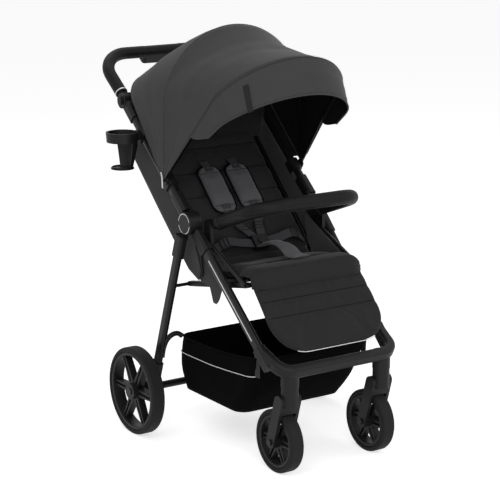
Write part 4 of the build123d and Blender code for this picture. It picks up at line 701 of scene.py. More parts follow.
def puff(pad, pinned, pressure):
    """Swell a sewn pad with a short cloth simulation that holds its seams and its back."""
    sizes = soft_sizes()
    seams = pad.vertex_groups.new(name="Seams")
    seams.add(pinned, 1.0, "REPLACE")
    cloth = pad.modifiers.new("Swell", "CLOTH")
    settings = {
        "quality": 6,
        "mass": 0.25,
        "tension_stiffness": 18.0,
        "compression_stiffness": 18.0,
        "shear_stiffness": 6.0,
        "bending_stiffness": 0.35,
        "use_pressure": True,
        "uniform_pressure_force": pressure,
        "shrink_min": -PAD_EASE,
        "vertex_group_mass": seams.name,
    }
    for name, value in settings.items():
        setattr(cloth.settings, name, value)
    cloth.settings.effector_weights.gravity = 0.0
    cloth.collision_settings.use_collision = False
    cloth.point_cache.frame_start = 1
    cloth.point_cache.frame_end = sizes.sim_frames
    scene = bpy.context.scene
    for step in range(1, sizes.sim_frames + 1):
        scene.frame_set(step)
    swollen = pad.evaluated_get(bpy.context.evaluated_depsgraph_get()).data
    rest = np.array([vertex.co for vertex in pad.data.vertices])
    moved = np.array([vertex.co for vertex in swollen.vertices])
    pad.modifiers.remove(cloth)
    pad.data.vertices.foreach_set("co", limit_moves(rest, moved, sizes.swell).astype(np.float32).ravel())
    pad.data.update()
    pad.vertex_groups.remove(seams)
    scene.frame_set(1)


def roll(distance, radius):
    """Share of the full height at a distance from a pad's rounded edge."""
    return np.sqrt(1 - (1 - np.clip(distance / radius, 0, 1)) ** 2)


def sewn_pad(name, box, ways, finish, seams=(), corners=(0.0, 0.0), flare=0.0, edge=0.35, fill=0.9):
    """Closed pad in the room of a CAD solid: a crowned top with sewn channels, drawn-in sides, a flat back.

    box holds the reach along the pad, across it and above its base; ways the three directions; corners
    the radius of its outline's corners at the low and the high end; flare how much wider each side is at
    the low end.
    """
    sizes = soft_sizes()
    (low, high), (left, right), (base, top) = box
    along, across, up = (np.array(way) for way in ways)
    stops = [low, *(low + seam * MM for seam in seams), high]
    places = [low]
    seam_rows = set()
    for start, end in zip(stops[:-1], stops[1:]):
        count = max(4, round((end - start) / sizes.mesh_step))
        places.extend(start + (end - start) * k / count for k in range(1, count + 1))
        seam_rows.add(len(places) - 1)
    seam_rows.discard(len(places) - 1)
    columns = max(6, round((right - left) / sizes.mesh_step))
    shares = np.linspace(-1, 1, columns + 1)
    middle = (left + right) / 2
    thick = (top - base) * fill
    upper = []
    lower = []
    for place in places:
        end_gap = min(place - low, high - place)
        half = (right - left) / 2 + flare * (high - place) / (high - low)
        for corner, gap in zip(corners, (place - low, high - place)):
            if gap < corner:
                half -= corner - math.sqrt(corner**2 - (corner - gap) ** 2)
        waist = WAIST_SHARE * math.sin(math.pi * (place - low) / (high - low)) * (right - left) / 2
        side_gap = (1 - np.abs(shares)) * half
        height = roll(side_gap, 1.1 * thick) * roll(np.full_like(shares, end_gap), 1.1 * thick)
        nearest = min((abs(place - low - seam * MM) for seam in seams), default=1.0)
        channel = CHANNEL_SHARE + (1 - CHANNEL_SHARE) * min(1.0, nearest / (CHANNEL_HALF_W * MM)) ** 0.5
        rise = base + thick * (edge + (1 - edge) * height * channel)
        back = base + thick * edge * (1 - roll(side_gap, 0.6 * thick))
        spots = middle + shares * (half - waist)
        upper.append([along * place + across * x + up * z for x, z in zip(spots, rise)])
        lower.append([along * place + across * x + up * z for x, z in zip(spots, back)])
    pad = close_pad(name, np.array(upper), np.array(lower), seam_rows, finish, PAD_PRESSURE)
    finished = pad.evaluated_get(bpy.context.evaluated_depsgraph_get()).data
    # A dark cord over each seam row: painted shade of the groove that the seam draws into the pad
    for k, row in enumerate(sorted(seam_rows)):
        first = row * (columns + 1)
        line = [np.array(finished.vertices[first + j].co) + up * 0.3 * MM for j in range(1, columns)]
        thread = add_tube(f"{name}_seam_{k + 1}", line, SEAM_SHADE_CORD * MM / 2, "lining", 1)
        thread.parent = pad
    return pad


def close_pad(name, upper, lower, seam_rows, finish, pressure):
    """Sew a top and a back face along their outline, swell the top and round it off."""
    count, width = upper.shape[:2]
    inside = [(i, j) for i in range(1, count - 1) for j in range(1, width - 1)]
    index = {place: count * width + k for k, place in enumerate(inside)}
    faces = []
    uvs = []
    for i in range(count - 1):
        for j in range(width - 1):
            corners = ((i, j), (i, j + 1), (i + 1, j + 1), (i + 1, j))
            flat = [(upper[a, b][0], a * soft_sizes().mesh_step) for a, b in corners]
            faces.append([a * width + b for a, b in corners])
            uvs.extend(flat)
            faces.append([index.get(place, place[0] * width + place[1]) for place in reversed(corners)])
            uvs.extend(reversed(flat))
    points = [*upper.reshape(-1, 3), *(lower[place] for place in inside)]
    pad = add_piece(name, points, faces, finish, uvs)
    turn_away(pad, (0, 0, 0))
    pinned = [i * width + j for i in range(count) for j in range(width) if i in seam_rows]
    rim = {i * width + j for i in range(count) for j in (0, width - 1)}
    rim |= {i * width + j for i in (0, count - 1) for j in range(width)}
    puff(pad, sorted({*pinned, *rim, *index.values()}), pressure)
    smooth = pad.modifiers.new("Rounded", "SUBSURF")
    smooth.levels = 1
    smooth.render_levels = 1
    return pad


def turn_away(piece, centre):
    """Turn a piece's faces away from a centre, which may lie anywhere for a closed piece."""
    outward = 0.0
    for face in piece.data.polygons:
        outward += face.normal.dot(face.center - Vector(centre)) * face.area
    if outward < 0:
        piece.data.flip_normals()


def bent_bar(bar, pivot, angle, count):
    """Centre line of a bar that runs out from a pivot, bends and crosses the stroller."""
    half, start, reach, bend, _ = (size * MM for size in bar)
    way = side_way(angle)
    flat = [(half, start + (reach - bend - start) * t) for t in np.linspace(0, 1, 12)]
    turns = np.linspace(0, math.pi / 2, 16)[1:]
    flat.extend((half - bend + bend * math.cos(t), reach - bend + bend * math.sin(t)) for t in turns)
    flat.extend((x, reach) for x in np.linspace(half - bend, 0, 14)[1:])
    side = [np.array((x, 0, 0)) + np.array(pivot + way * y) for x, y in flat]
    whole = side + [point * np.array((-1, 1, 1)) for point in reversed(side[:-1])]
    return even_path(whole, count)


def sleeve(name, path, radius, finish, seed):
    """Wrapped cover along a bar, with faint drawn creases."""
    path = np.array(path)
    ways = np.gradient(path, axis=0)
    ways /= np.linalg.norm(ways, axis=1, keepdims=True)
    rows = []
    for point, way in zip(path, ways):
        across = np.cross(way, (0.0, 0.6, -0.8))
        across /= np.linalg.norm(across)
        over = np.cross(way, across)
        ring = []
        for turn in np.linspace(0, 2 * math.pi, COVER_SIDES + 1):
            out = across * math.cos(turn) + over * math.sin(turn)
            spot = Vector(point + out * radius)
            crease = noise.noise(spot * CREASES + Vector((seed, 0, 0)))
            ring.append(point + out * (radius + CREASE_RISE * MM * crease))
        rows.append(ring)
    return add_grid(name, rows, finish)


class STROLLER_OT_finish_frame(bpy.types.Operator):
    """Give the tubes, joints, wheels and pins their finishes"""

    bl_idname = "stroller.finish_frame"
    bl_label = "Frame Finishes"

    def execute(self, context):
        finishes.update(make_materials())
        for finish, names in CAD_FINISH.items():
            for name in names.split():
                slots = frame["nodes"][name].data.materials
                slots.clear()
                slots.append(finishes[finish])
        return {"FINISHED"}


class STROLLER_OT_seat(bpy.types.Operator):
    """Sew the seat cushion, the backrest and the calf rest"""

    bl_idname = "stroller.seat"
    bl_label = "Seat Pads"

    def execute(self, context):
        plans = (
            ("seat_cushion", SEAT_ANGLE, -90, (), "front_frame"),
            ("backrest_cushion", BACK_ANGLE, 90, BACK_SEAMS, "backrest"),
        )
        for node, angle, turn, seams, body in plans:
            along = side_way(angle)
            up = side_way(angle + turn)
            points = node_points(node)
            box = (span(points, along), span(points, ACROSS), span(points, up))
            pad = sewn_pad(f"{node}_cover", box, (along, ACROSS, up), "seat", seams)
            settle_pad(pad, node, body)
        calf_up = side_way(CALF_ANGLE - 90)
        calf_way = -side_way(CALF_ANGLE)
        points = node_points("calf_cushion")
        box = (span(points, calf_way), span(points, ACROSS), span(points, calf_up))
        length = (box[0][1] - box[0][0]) / MM
        seams = sorted(length - seam for seam in CALF_SEAMS)
        calf = sewn_pad(
            "calf_cushion_cover",
            box,
            (calf_way, ACROSS, calf_up),
            "seat",
            seams,
            (CALF_CORNER * MM, 0.0),
            CALF_FLARE * MM,
        )
        settle_pad(calf, "calf_cushion", "calf_rest")
        self.edge_piping(box, calf_way, calf_up)
        self.apron(box, calf_up)
        self.back_fold()
        self.back_bars()
        return {"FINISHED"}

    def edge_piping(self, box, way, up):
        """White cord along the round foot of the calf rest."""
        (low, _), (left, _), (base, top) = box
        left -= CALF_FLARE * MM
        corner = CALF_CORNER * MM
        level = base + 0.42 * (top - base)
        thick = soft_sizes().piping
        bend = corner + 0.4 * thick
        turns = np.linspace(math.radians(CALF_CORD_START), math.radians(270), 12)
        path = [(left + corner + bend * math.cos(t), low + corner + bend * math.sin(t)) for t in turns]
        path.extend([(-x, y) for x, y in reversed(path)])
        line = [Vector((x, 0, 0)) + way * y + up * level for x, y in path]
        carry(add_tube("calf_piping", even_path(line, 60), thick / 2, "piping"), "calf_rest")

    def back_fold(self):
        """Cloth rolled from the foot of the backrest round its rod, which closes the gap behind the seat."""
        pivot = joint_place("recline")
        along = side_way(BACK_ANGLE)
        up = side_way(BACK_ANGLE + 90)
        half = span(node_points("seat_cushion"), ACROSS)[1] * 0.98
        turns = np.linspace(math.radians(BACK_ANGLE + 90), math.radians(BACK_ANGLE + 250), 14)
        line = [pivot + along * BACK_FOLD_LAP * MM + up * BACK_FOLD_R * MM]
        line.extend(pivot + side_way(math.degrees(turn)) * BACK_FOLD_R * MM for turn in turns)
        rows = []
        for k, point in enumerate(line):
            row = []
            for share in np.linspace(-1, 1, 48):
                crease = 0.8 * MM * noise.noise(Vector((share * 9, k * 0.4, 11.0)))
                row.append(np.array(point) + np.array(up) * crease + np.array((share * half, 0, 0)))
            rows.append(row)
        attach(add_sheet("backrest_fold", rows, "seat"), "backrest")

    def back_bars(self):
        """Painted tube up each side of the backrest."""
        pivot = joint_place("recline")
        along = side_way(BACK_ANGLE)
        up = side_way(BACK_ANGLE + 90)
        top = span(node_points("backrest_cushion"), along)[1] - pivot.dot(along)
        for side, label in SIDES:
            line = [
                pivot + Vector((side * BACK_BAR_X * MM, 0, 0)) + along * reach + up * 5 * MM
                for reach in np.linspace(22 * MM, top - 12 * MM, 8)
            ]
            bar = add_tube(f"backrest_bar_{label}", line, BACK_BAR_D * MM / 2, "paint")
            carry(bar, "backrest")

    def apron(self, box, calf_up):
        """Cloth that carries on from the seat over its front edge to the calf rest."""
        pivot = joint_place("calf_tilt")
        seat_way = side_way(SEAT_ANGLE)
        seat_up = side_way(SEAT_ANGLE - 90)
        calf_way = side_way(CALF_ANGLE)
        half = (box[1][1] - box[1][0]) / 2
        turn_angle, turn_reach = APRON_TURN
        knots = [pivot + seat_way * reach * MM + seat_up * rise * MM for reach, rise in APRON_ON_SEAT]
        knots.append(pivot + side_way(turn_angle) * turn_reach * MM)
        knots.extend(pivot + calf_up * rise * MM + calf_way * reach * MM for reach, rise in APRON_ON_CALF)
        line = smooth_path(knots, 30)
        middle = np.array(pivot)
        rows = []
        for k, point in enumerate(line):
            row = []
            for share in np.linspace(-1, 1, 60):
                inward = 0.5 * max(0.0, (abs(share) - 0.78) / 0.22) ** 2
                fold = 0.02 * noise.noise(Vector((share * 7, k * 0.3, 3.0)))
                row.append(middle + (point - middle) * (1 + fold - inward) + np.array((share * half, 0, 0)))
            rows.append(row)
        piece = add_grid("seat_apron", rows, "seat")
        thicken(piece, APRON_T * MM)
        declare_sheet(rows)
        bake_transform(piece)


class STROLLER_OT_harness(bpy.types.Operator):
    """Make the shoulder pads, the crotch pad, the straps and their slides"""

    bl_idname = "stroller.harness"
    bl_label = "Harness"

    def execute(self, context):
        along = side_way(BACK_ANGLE)
        up = side_way(BACK_ANGLE + 90)
        for side, label in SIDES:
            points = node_points("shoulder_pads", side)
            (low, high), (left, right), depth = (span(points, way) for way in (along, ACROSS, up))
            middle = (left + right) / 2
            half = PAD_WIDER * (right - left) / 2
            lift = PAD_LIFT * MM
            box = ((low + lift, high + lift), (middle - half, middle + half), depth)
            corners = (PAD_CORNER * MM, PAD_CORNER * MM)
            pad = sewn_pad(f"shoulder_pad_{label}", box, (along, ACROSS, up), "pads", PAD_SEAMS, corners)
            self.pad_binding(label, box, along, up)
            settle_pad(pad, "shoulder_pads", "backrest")
            self.straps(label, side, box, along, up)
        self.crotch_pad()
        return {"FINISHED"}

    def pad_binding(self, label, box, along, up):
        """Dark tape round the edge of a shoulder pad."""
        (low, high), (left, right), (base, _) = box
        bend = PAD_CORNER * MM
        middle = (left + right) / 2
        half = (right - left) / 2 + 0.4 * MM
        level = up * (base + PAD_BINDING_RISE * MM)
        path = []
        for centre, start in ((high - bend, 0), (low + bend, 180)):
            for turn in np.linspace(math.radians(start), math.radians(start + 180), 25):
                x = middle + (half - bend + bend * abs(math.cos(turn))) * np.sign(math.cos(turn))
                path.append(Vector((x, 0, 0)) + along * (centre + bend * math.sin(turn)) + level)
        path.append(path[0])
        carry(add_tube(f"shoulder_pad_binding_{label}", path, PAD_BINDING_R * MM, "basket", 2), "backrest")

    def straps(self, label, side, box, along, up):
        """Webbing from the backrest through the pad to the buckle, and the lap strap, with their slides."""
        sizes = soft_sizes()
        (low, high), (left, right), (base, top) = box
        middle = Vector(((left + right) / 2, 0, 0))
        lap = node_points("harness_straps", side)
        buckle_low, buckle_high = span(node_points("buckle"), along)
        buckle_up = sum(span(node_points("buckle"), up)) / 2
        strap_low = span(lap, along)[0]
        outer = max(abs(lap[:, 0]))
        toe = Vector((side * 0.55 * sizes.strap_w, 0, 0))
        shoulder = smooth_path(
            (
                middle + along * (high + 22 * MM) + up * (base + 1 * MM),
                middle + along * (high + 6 * MM) + up * (base + 6 * MM),
                middle + along * (high - 20 * MM) + up * (top - 0.5 * MM),
            ),
            12,
        )
        lower = smooth_path(
            (
                middle + along * (low + 22 * MM) + up * (top - 0.5 * MM),
                middle + along * (low - 4 * MM) + up * (base + 8 * MM),
                middle * 0.7 + along * (low - 46 * MM) + up * (base + 9 * MM),
                toe + along * (buckle_high + 2 * MM) + up * (buckle_up + 1 * MM),
            ),
            26,
        )
        belly = (buckle_low + buckle_high) / 2
        hip = smooth_path(
            (
                Vector((side * outer, 0, 0)) + along * (strap_low + 14 * MM) + up * (base + 2 * MM),
                Vector((side * outer * 0.72, 0, 0)) + along * (belly + 10 * MM) + up * (buckle_up + 9 * MM),
                Vector((side * outer * 0.42, 0, 0)) + along * (belly + 3 * MM) + up * (buckle_up + 6 * MM),
                Vector((side * 24 * MM, 0, 0)) + along * belly + up * buckle_up,
            ),
            26,
        )
        routes = (
            ("shoulder_strap_top", shoulder, ACROSS),
            ("shoulder_strap", lower, ACROSS),
            ("lap_strap", hip, along),
        )
        pieces = [
            add_ribbon(f"{name}_{label}", route, width_way, sizes.strap_w, sizes.strap_t, "webbing")
            for name, route, width_way in routes
        ]
        pieces.append(self.slide(f"lap_slide_{label}", hip[8], hip[9] - hip[8], along))
        pieces.append(self.slide(f"shoulder_slide_{label}", lower[17], lower[18] - lower[17], ACROSS))
        for piece in pieces:
            carry(piece, "backrest")
        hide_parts("harness_straps")

    def slide(self, name, place, way, width_way):
        """Ladder-lock slide: a rounded plastic frame round the webbing, with a middle bar."""
        way = np.array(way, float) / np.linalg.norm(way)
        width_way = np.array(width_way, float)
        half_w = soft_sizes().strap_w / 2 + SLIDE_SPARE * MM
        half_l = SLIDE_HALF_L * MM
        ring = [
            place
            + width_way * half_w * np.sign(math.cos(t)) * abs(math.cos(t)) ** 0.4
            + way * half_l * np.sign(math.sin(t)) * abs(math.sin(t)) ** 0.4
            for t in np.linspace(0, 2 * math.pi, 33)
        ]
        outer = add_tube(name, ring, SLIDE_R * MM, "plastic", 2)
        ends = [place - width_way * half_w, place + width_way * half_w]
        add_tube(f"{name}_bar", ends, SLIDE_BAR_R * MM, "plastic", 2).parent = outer
        return outer

    def crotch_pad(self):
        """Curved pad over the strap between the legs, drawn down at its edges."""
        points = node_points("crotch_pad")
        ys = points[:, 1]
        half = max(abs(points[:, 0]))
        front = ys.min() + 3 * MM
        stations = np.linspace(front - CROTCH_REACH * MM, ys.max() - 3 * MM, 32)
        shares = np.linspace(-1, 1, 11)
        upper = []
        lower = []
        for k, y in enumerate(stations):
            near = points[np.abs(ys - max(y, front)) < 9 * MM]
            top = near[:, 2].max() + 0.12 * max(0.0, front - y)
            waist = 0.78 + 0.22 * math.cos(math.pi * (k / (len(stations) - 1) - 0.15)) ** 2
            reach = half * CROTCH_WIDER * waist
            upper.append([(s * reach, y, top - 1.5 * MM - 3 * MM * abs(s) ** 3) for s in shares])
            lower.append([(s * reach, y, top - 8 * MM) for s in shares])
        faces = [np.array(upper), np.array(lower)]
        for face in faces:
            for _ in range(3):
                face[1:-1, :, 2] = (face[:-2, :, 2] + face[1:-1, :, 2] + face[2:, :, 2]) / 3
        pad = close_pad("crotch_pad_cover", *faces, set(), "pads", CROTCH_PRESSURE)
        settle_pad(pad, "crotch_pad", "front_frame")


class STROLLER_OT_side_cloth(bpy.types.Operator):
    """Stretch the seat wings behind the handle tubes and the panels below the hinges"""

    bl_idname = "stroller.side_cloth"
    bl_label = "Side Cloth"

    def execute(self, context):
        hinge = joint_place("handle_fold")
        tube_way = side_way(HANDLE_ANGLE)
        depth_way = side_way(HANDLE_ANGLE - 90)
        wing = [
            [hinge + tube_way * reach * MM + depth_way * depth * MM for reach, depth in edge]
            for edge in (WING_FRONT, WING_REAR)
        ]
        panel, gusset = (
            [[Vector((0, y * MM, z * MM)) for y, z in edge] for edge in edges]
            for edges in ((PANEL_FRONT, PANEL_REAR), (GUSSET_FRONT, GUSSET_REAR))
        )
        for side, label in SIDES:
            cloth = self.stretch(f"seat_wing_{label}", wing, side, WING_X, 34, 5.0, "handle_tubes")
            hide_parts("seat_wings")
            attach(cloth, "handle_frame")
            cloth = self.stretch(f"seat_side_panel_{label}", panel, side, PANEL_X, 18, 1.0, "seat_frame")
            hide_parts("seat_side_panels")
            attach(cloth, "front_frame")
            cloth = self.stretch(f"seat_gusset_{label}", gusset, side, GUSSET_X, 18, 1.5, "seat_frame")
            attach(cloth, "front_frame")
        return {"FINISHED"}

    def stretch(self, name, edges, side, x, count, hollow, holder):
        """Cloth between a front and a rear edge, drawn in between them by up to a hollow in millimetres."""
        front, rear = (even_path(edge, count) for edge in edges)
        rows = []
        for k in range(count):
            row = []
            for share in np.linspace(0, 1, 14):
                point = front[k] * (1 - share) + rear[k] * share
                bow = math.sin(math.pi * share) * math.sin(math.pi * k / (count - 1))
                crease = noise.noise(Vector((point[1] * 22, point[2] * 22, side * 2.0)))
                out = MM * (x + bow * (0.7 * crease - hollow))
                row.append(point + np.array((side * out, 0, 0)))
            rows.append(row)
        return add_sheet(name, rows, "canopy")


def blend_station(stations, share):
    """Arch part of the way along a row of arches, on one smooth curve through all of them."""
    angles = [station[0] for station in stations]
    angle = angles[0] + (angles[-1] - angles[0]) * share
    blend = np.zeros(len(stations[0]))
    for k, station in enumerate(stations):
        others = angles[:k] + angles[k + 1 :]
        blend += np.array(station) * math.prod((angle - other) / (angles[k] - other) for other in others)
    return blend


def arch_line(station, base_r, inset=0.0):
    """Line over the hood in one arch's plane, from the left pivot to the right one."""
    angle, width, shoulder, crown, corner = station
    reach = (base_r - CANOPY_BASE_R) / (shoulder - CANOPY_BASE_R)
    base_x = CANOPY_BASE_X + (width - CANOPY_BASE_X) * reach
    rise = crown - shoulder
    top_r = (width**2 - 2 * width * corner + rise**2) / (2 * (rise - corner))
    lean = math.atan2(shoulder - crown + top_r, width - corner)
    half = [
        (base_x + (width - base_x) * share - inset, base_r + (shoulder - base_r) * share)
        for share in np.linspace(0, 1, 15)
    ]
    bends = (
        (width - corner, shoulder, corner - inset, np.linspace(0, lean, 15)),
        (0.0, crown - top_r, top_r - inset, np.linspace(lean, math.pi / 2, 17)),
    )
    for x, r, bend, turns in bends:
        half.extend((x + bend * math.cos(turn), r + bend * math.sin(turn)) for turn in turns[1:])
    whole = half + [(-x, r) for x, r in reversed(half[:-1])]
    pivot = joint_place("canopy_rear")
    way = side_way(angle)
    return np.array([np.array((x * MM, 0, 0)) + np.array(pivot + way * r * MM) for x, r in whole])


class STROLLER_OT_canopy(bpy.types.Operator):
    """Stretch the canopy cloth over its bows, with its seams, bindings and tabs"""

    bl_idname = "stroller.canopy"
    bl_label = "Canopy"

    def execute(self, context):
        whole = (CANOPY_BASE_R, CANOPY_BASE_R)
        rear = self.panel("canopy_rear_cloth", (REAR_EDGE, REAR_STAY, MAIN_BOW), whole, 26, 1.0)
        front = self.panel("canopy_front_cloth", (MAIN_BOW, MID_STAY, FRONT_BOW), whole, 26, 2.0)
        visor = self.panel("visor_cloth", (FRONT_BOW, VISOR_EDGE), (VISOR_START, VISOR_END), 12, 3.0)
        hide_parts("canopy_rear_panel")
        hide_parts("canopy_front_panel")
        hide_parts("visor")
        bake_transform(rear)
        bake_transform(front)
        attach(visor, "canopy_front")
        self.curtain()
        self.side_strips()
        self.seams()
        self.tabs()
        return {"FINISHED"}

    def panel(self, name, stations, base_r, count, seed):
        """One continuous sheet over a row of arches, slightly drawn in between them and faintly creased."""
        pivot = np.array(joint_place("canopy_rear"))
        rows = []
        for share in np.linspace(0, 1, count):
            line = arch_line(blend_station(stations, share), base_r[0] + (base_r[1] - base_r[0]) * share**2)
            out = line - pivot
            reach = np.linalg.norm(out, axis=1, keepdims=True)
            slack = math.sin(math.pi * share)
            creases = np.array([noise.noise(Vector(point * 17.0) + Vector((seed, 0, 0))) for point in line])
            folds = np.array([noise.noise(Vector((point[0] * 5, share * 6, seed * 3))) for point in line])
            waves = HOOD_CREASE * creases + HOOD_FOLD * folds - HOOD_DRAW
            dip = slack * MM * waves * np.clip(reach[:, 0] / 0.2, 0, 1)
            rows.append(line + out / np.maximum(reach, 1e-6) * dip[:, None])
        piece = add_grid(name, rows, "canopy")
        turn_away(piece, pivot)
        thicken(piece, soft_sizes().cloth, "lining")
        declare_sheet(rows)
        return piece

    def curtain(self):
        """Cloth that closes the hood behind, from its rear edge down to the top of the backrest."""
        points = node_points("backrest_cushion")
        along = side_way(BACK_ANGLE)
        up = side_way(BACK_ANGLE + 90)
        back = np.array(side_way(REAR_EDGE[0] - 90))
        half = CURTAIN_HALF_W * MM
        edge = arch_line(REAR_EDGE, CURTAIN_START, 3.0)
        edge[:, 0] = np.clip(edge[:, 0], -half, half)
        low, deep = span(points, along)[1] - CURTAIN_LAP * MM, span(points, up)[1] - CURTAIN_SINK * MM
        foot_at = along * low + up * deep
        sides = np.linspace(1, -1, len(edge)) * half
        foot = np.array([np.array(foot_at) + np.array((x, 0, 0)) for x in sides])
        rows = []
        for share in np.linspace(0, 1, 16):
            folds = [noise.noise(Vector((point[0] * 12, share * 2, 7.0))) for point in edge]
            slack = math.sin(math.pi * share) * MM * (CURTAIN_SLACK + CURTAIN_FOLD * np.array(folds))
            rows.append(edge * (1 - share) + foot * share + back * slack[:, None])
        piece = add_sheet("hood_curtain", rows, "seat")
        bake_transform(piece)

    def side_strips(self):
        """Cloth between the hood's rear edge and the top of each handle tube."""
        hinge = joint_place("handle_fold")
        tube_way = side_way(HANDLE_ANGLE)
        rest = hinge + side_way(HANDLE_ANGLE + 90) * STRIP_RISE * MM
        edge = arch_line(REAR_EDGE, CANOPY_BASE_R * 3, 1.5)[:24]
        foot = []
        for point in edge:
            reach = (Vector(point) - hinge).dot(tube_way)
            spot = rest + tube_way * min(reach, STRIP_END * MM)
            foot.append((STRIP_X * MM, spot.y, spot.z))
        for side, label in SIDES:
            rows = [
                (edge * (1 - share) + np.array(foot) * share) * np.array((side, 1, 1))
                for share in np.linspace(0, 1, 6)
            ]
            strip = add_sheet(f"hood_strip_{label}", rows, "lining")
            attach(strip, "handle_frame")

    def cord(self, name, station, base_r, inset, radius, body, slot=None):
        """Round cloth cord along an arch."""
        line = even_path(arch_line(station, base_r, inset), 160)
        carry(add_tube(name, line, radius, "canopy"), body)

    def seams(self):
        """Bound edges, rows of stitches along the bows and the visor's hem, and a welt on each bow."""
        bound = soft_sizes().binding / 2
        self.cord("canopy_rear_binding", REAR_EDGE, CANOPY_BASE_R, 0.4, bound, "handle_frame", "canopy_cloth")
        self.cord("visor_binding", VISOR_EDGE, VISOR_END, 0.4, bound, "canopy_front", "canopy_cloth")
        rows = (
            ("main_bow_stitches", MAIN_BOW, CANOPY_BASE_R, "canopy_main", (0.9,)),
            ("front_bow_stitches", FRONT_BOW, FRONT_WELT_START, "canopy_front", (-0.5, 0.45)),
            ("visor_hem_stitches", VISOR_EDGE, VISOR_END, "canopy_front", (-1.9,)),
        )
        for name, station, base_r, body, turns in rows:
            lines = [arch_line((station[0] + turn, *station[1:]), base_r, -0.5) for turn in turns]
            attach(add_stitches(name, lines, "lining"), body)
        self.cord("front_bow_welt", FRONT_BOW, FRONT_WELT_START, 0.2, FRONT_WELT_R * MM, "canopy_front")
        self.cord("main_bow_welt", MAIN_BOW, CANOPY_BASE_R, 0.3, MAIN_WELT_R * MM, "canopy_main")

    def tabs(self):
        """Cloth tab on the visor and white pull tape at the right pivot."""
        line = arch_line(VISOR_EDGE, VISOR_END, -1.2)
        upper = arch_line(blend_station((FRONT_BOW, VISOR_EDGE), TAB_TOP), VISOR_START, -1.2)
        at = int(len(line) * TAB_AT)
        top, hem = upper[at], line[at]
        path = smooth_path((top, (top + hem) / 2, hem + (hem - top) * 0.08), 10)
        tab = add_ribbon("visor_tab", path, line[at + 1] - hem, TAB_W * MM, TAB_T * MM, "seat")
        carry(tab, "canopy_front")
        pivot = joint_place("canopy_rear")
        foot = Vector((-CANOPY_BASE_X * MM - 3.5 * MM, pivot.y, pivot.z))
        turns = ((75, 22), (85, 6), (-90, 10), (-92, 20))
        path = smooth_path([foot + side_way(angle) * reach * MM for angle, reach in turns], 12)
        tape = add_ribbon("pull_tape", path, (0, 1, 0.1), TAPE_W * MM, TAPE_T * MM, "piping")
        carry(tape, "handle_frame")


class STROLLER_OT_basket(bpy.types.Operator):
    """Hang the basket: a sagging cloth tub with a bound rim, white piping and hanger straps"""

    bl_idname = "stroller.basket"
    bl_label = "Basket"

    def outline(self, level_share):
        """Rounded outline of the tub at a share of its height, as (X, Y)."""
        _, half, front, rear = (
            low * (1 - level_share) + high * level_share for low, high in zip(BASKET_FLOOR, BASKET_RIM)
        )
        bulge = BASKET_BULGE * math.sin(math.pi * level_share)
        half, front, rear = half + bulge, front - bulge, rear + bulge
        points = []
        corners = ((half, rear, 0), (-half, rear, 90), (-half, front, 180), (half, front, 270))
        for x, y, start in corners:
            cx = x - math.copysign(BASKET_CORNER, x)
            cy = y - BASKET_CORNER if y == rear else y + BASKET_CORNER
            for turn in np.linspace(math.radians(start), math.radians(start + 90), 9):
                points.append((cx + BASKET_CORNER * math.cos(turn), cy + BASKET_CORNER * math.sin(turn)))
        points.append(points[0])
        flat = [np.array((x * MM, y * MM, 0.0)) for x, y in points]
        return even_path(flat, 120)

    def rim_drop(self, point):
        """How far the rim falls and sags at a place along its sides."""
        front, rear = BASKET_RIM[2] * MM, BASKET_RIM[3] * MM
        share = np.clip((point[1] - front) / (rear - front), 0, 1)
        return MM * (BASKET_REAR_DROP * share + BASKET_SAG * math.sin(math.pi * share))

    def ring(self, share):
        """One level of the tub's wall, sagging with the rim and softly creased."""
        low, high = BASKET_FLOOR[0] * MM, BASKET_RIM[0] * MM
        points = []
        for point in self.outline(share):
            level = low + (high - low - self.rim_drop(point)) * share
            crease = noise.noise(Vector((point[0] * 14, point[1] * 14, share * 3)))
            out = Vector((point[0], point[1] + 0.12, 0)).normalized()
            bulge = BASKET_CREASE * MM * crease * math.sin(math.pi * share)
            points.append(np.array((*point[:2], level)) + np.array(out) * bulge)
        return points

    def execute(self, context):
        sizes = soft_sizes()
        rows = [self.ring(share) for share in np.linspace(1, 0, 16)]
        foot = rows[-1]
        centre = np.mean(foot, axis=0)
        for shrink in FLOOR_RINGS:
            sag = np.array((0, 0, -FLOOR_SAG * MM * (1 - shrink)))
            rows.append([centre + (point - centre) * shrink + sag for point in foot])
        tub = add_grid("basket_tub", rows, "basket")
        turn_away(tub, centre + np.array((0, 0, 0.08)))
        thicken(tub, sizes.cloth)
        declare_sheet(rows)
        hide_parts("basket")
        rim = add_tube("basket_binding", rows[0], sizes.binding / 2, "basket")
        cord = [point + (math.copysign(1.6 * MM, point[0]), 0, 0) for point in self.ring(BASKET_PIPING)]
        pieces = [tub, rim]
        for side, label in SIDES:
            run = [tuple(point) for point in cord if point[0] * side > PIPING_END_X * MM]
            run.sort(key=lambda place: place[1])
            pieces.append(add_tube(f"basket_piping_{label}", even_path(run, 60), sizes.piping / 2, "piping"))
            pieces.extend(self.hangers(side, label))
        for piece in pieces:
            carry(piece, "front_frame")
            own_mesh(piece)
        return {"FINISHED"}

    def hangers(self, side, label):
        """Webbing from the rim up to the front leg, and the bent arm that stands off towards the rear leg."""
        solid = node_points("basket", side)
        y = FRONT_HANGER_Y
        near = solid[np.abs(solid[:, 1] - y * MM) < 26 * MM]
        high = near[np.argmax(near[:, 2])]
        low = Vector((side * (BASKET_RIM[1] - 4) * MM, y * MM, (BASKET_RIM[0] - 52) * MM))
        path = smooth_path((low, low + Vector((0, 0, 34 * MM)), Vector((high[0], y * MM, high[2]))), 14)
        thick = soft_sizes().strap_t
        strap = add_ribbon(f"basket_hanger_{label}", path, (0, 1, 0), HANGER_W * MM, thick, "webbing")
        arm = [Vector((side * x * MM, y * MM, z * MM)) for x, y, z in BASKET_ARM]
        return [strap, add_tube(f"basket_arm_{label}", smooth_path(arm, 24), ARM_D * MM / 2, "plastic")]


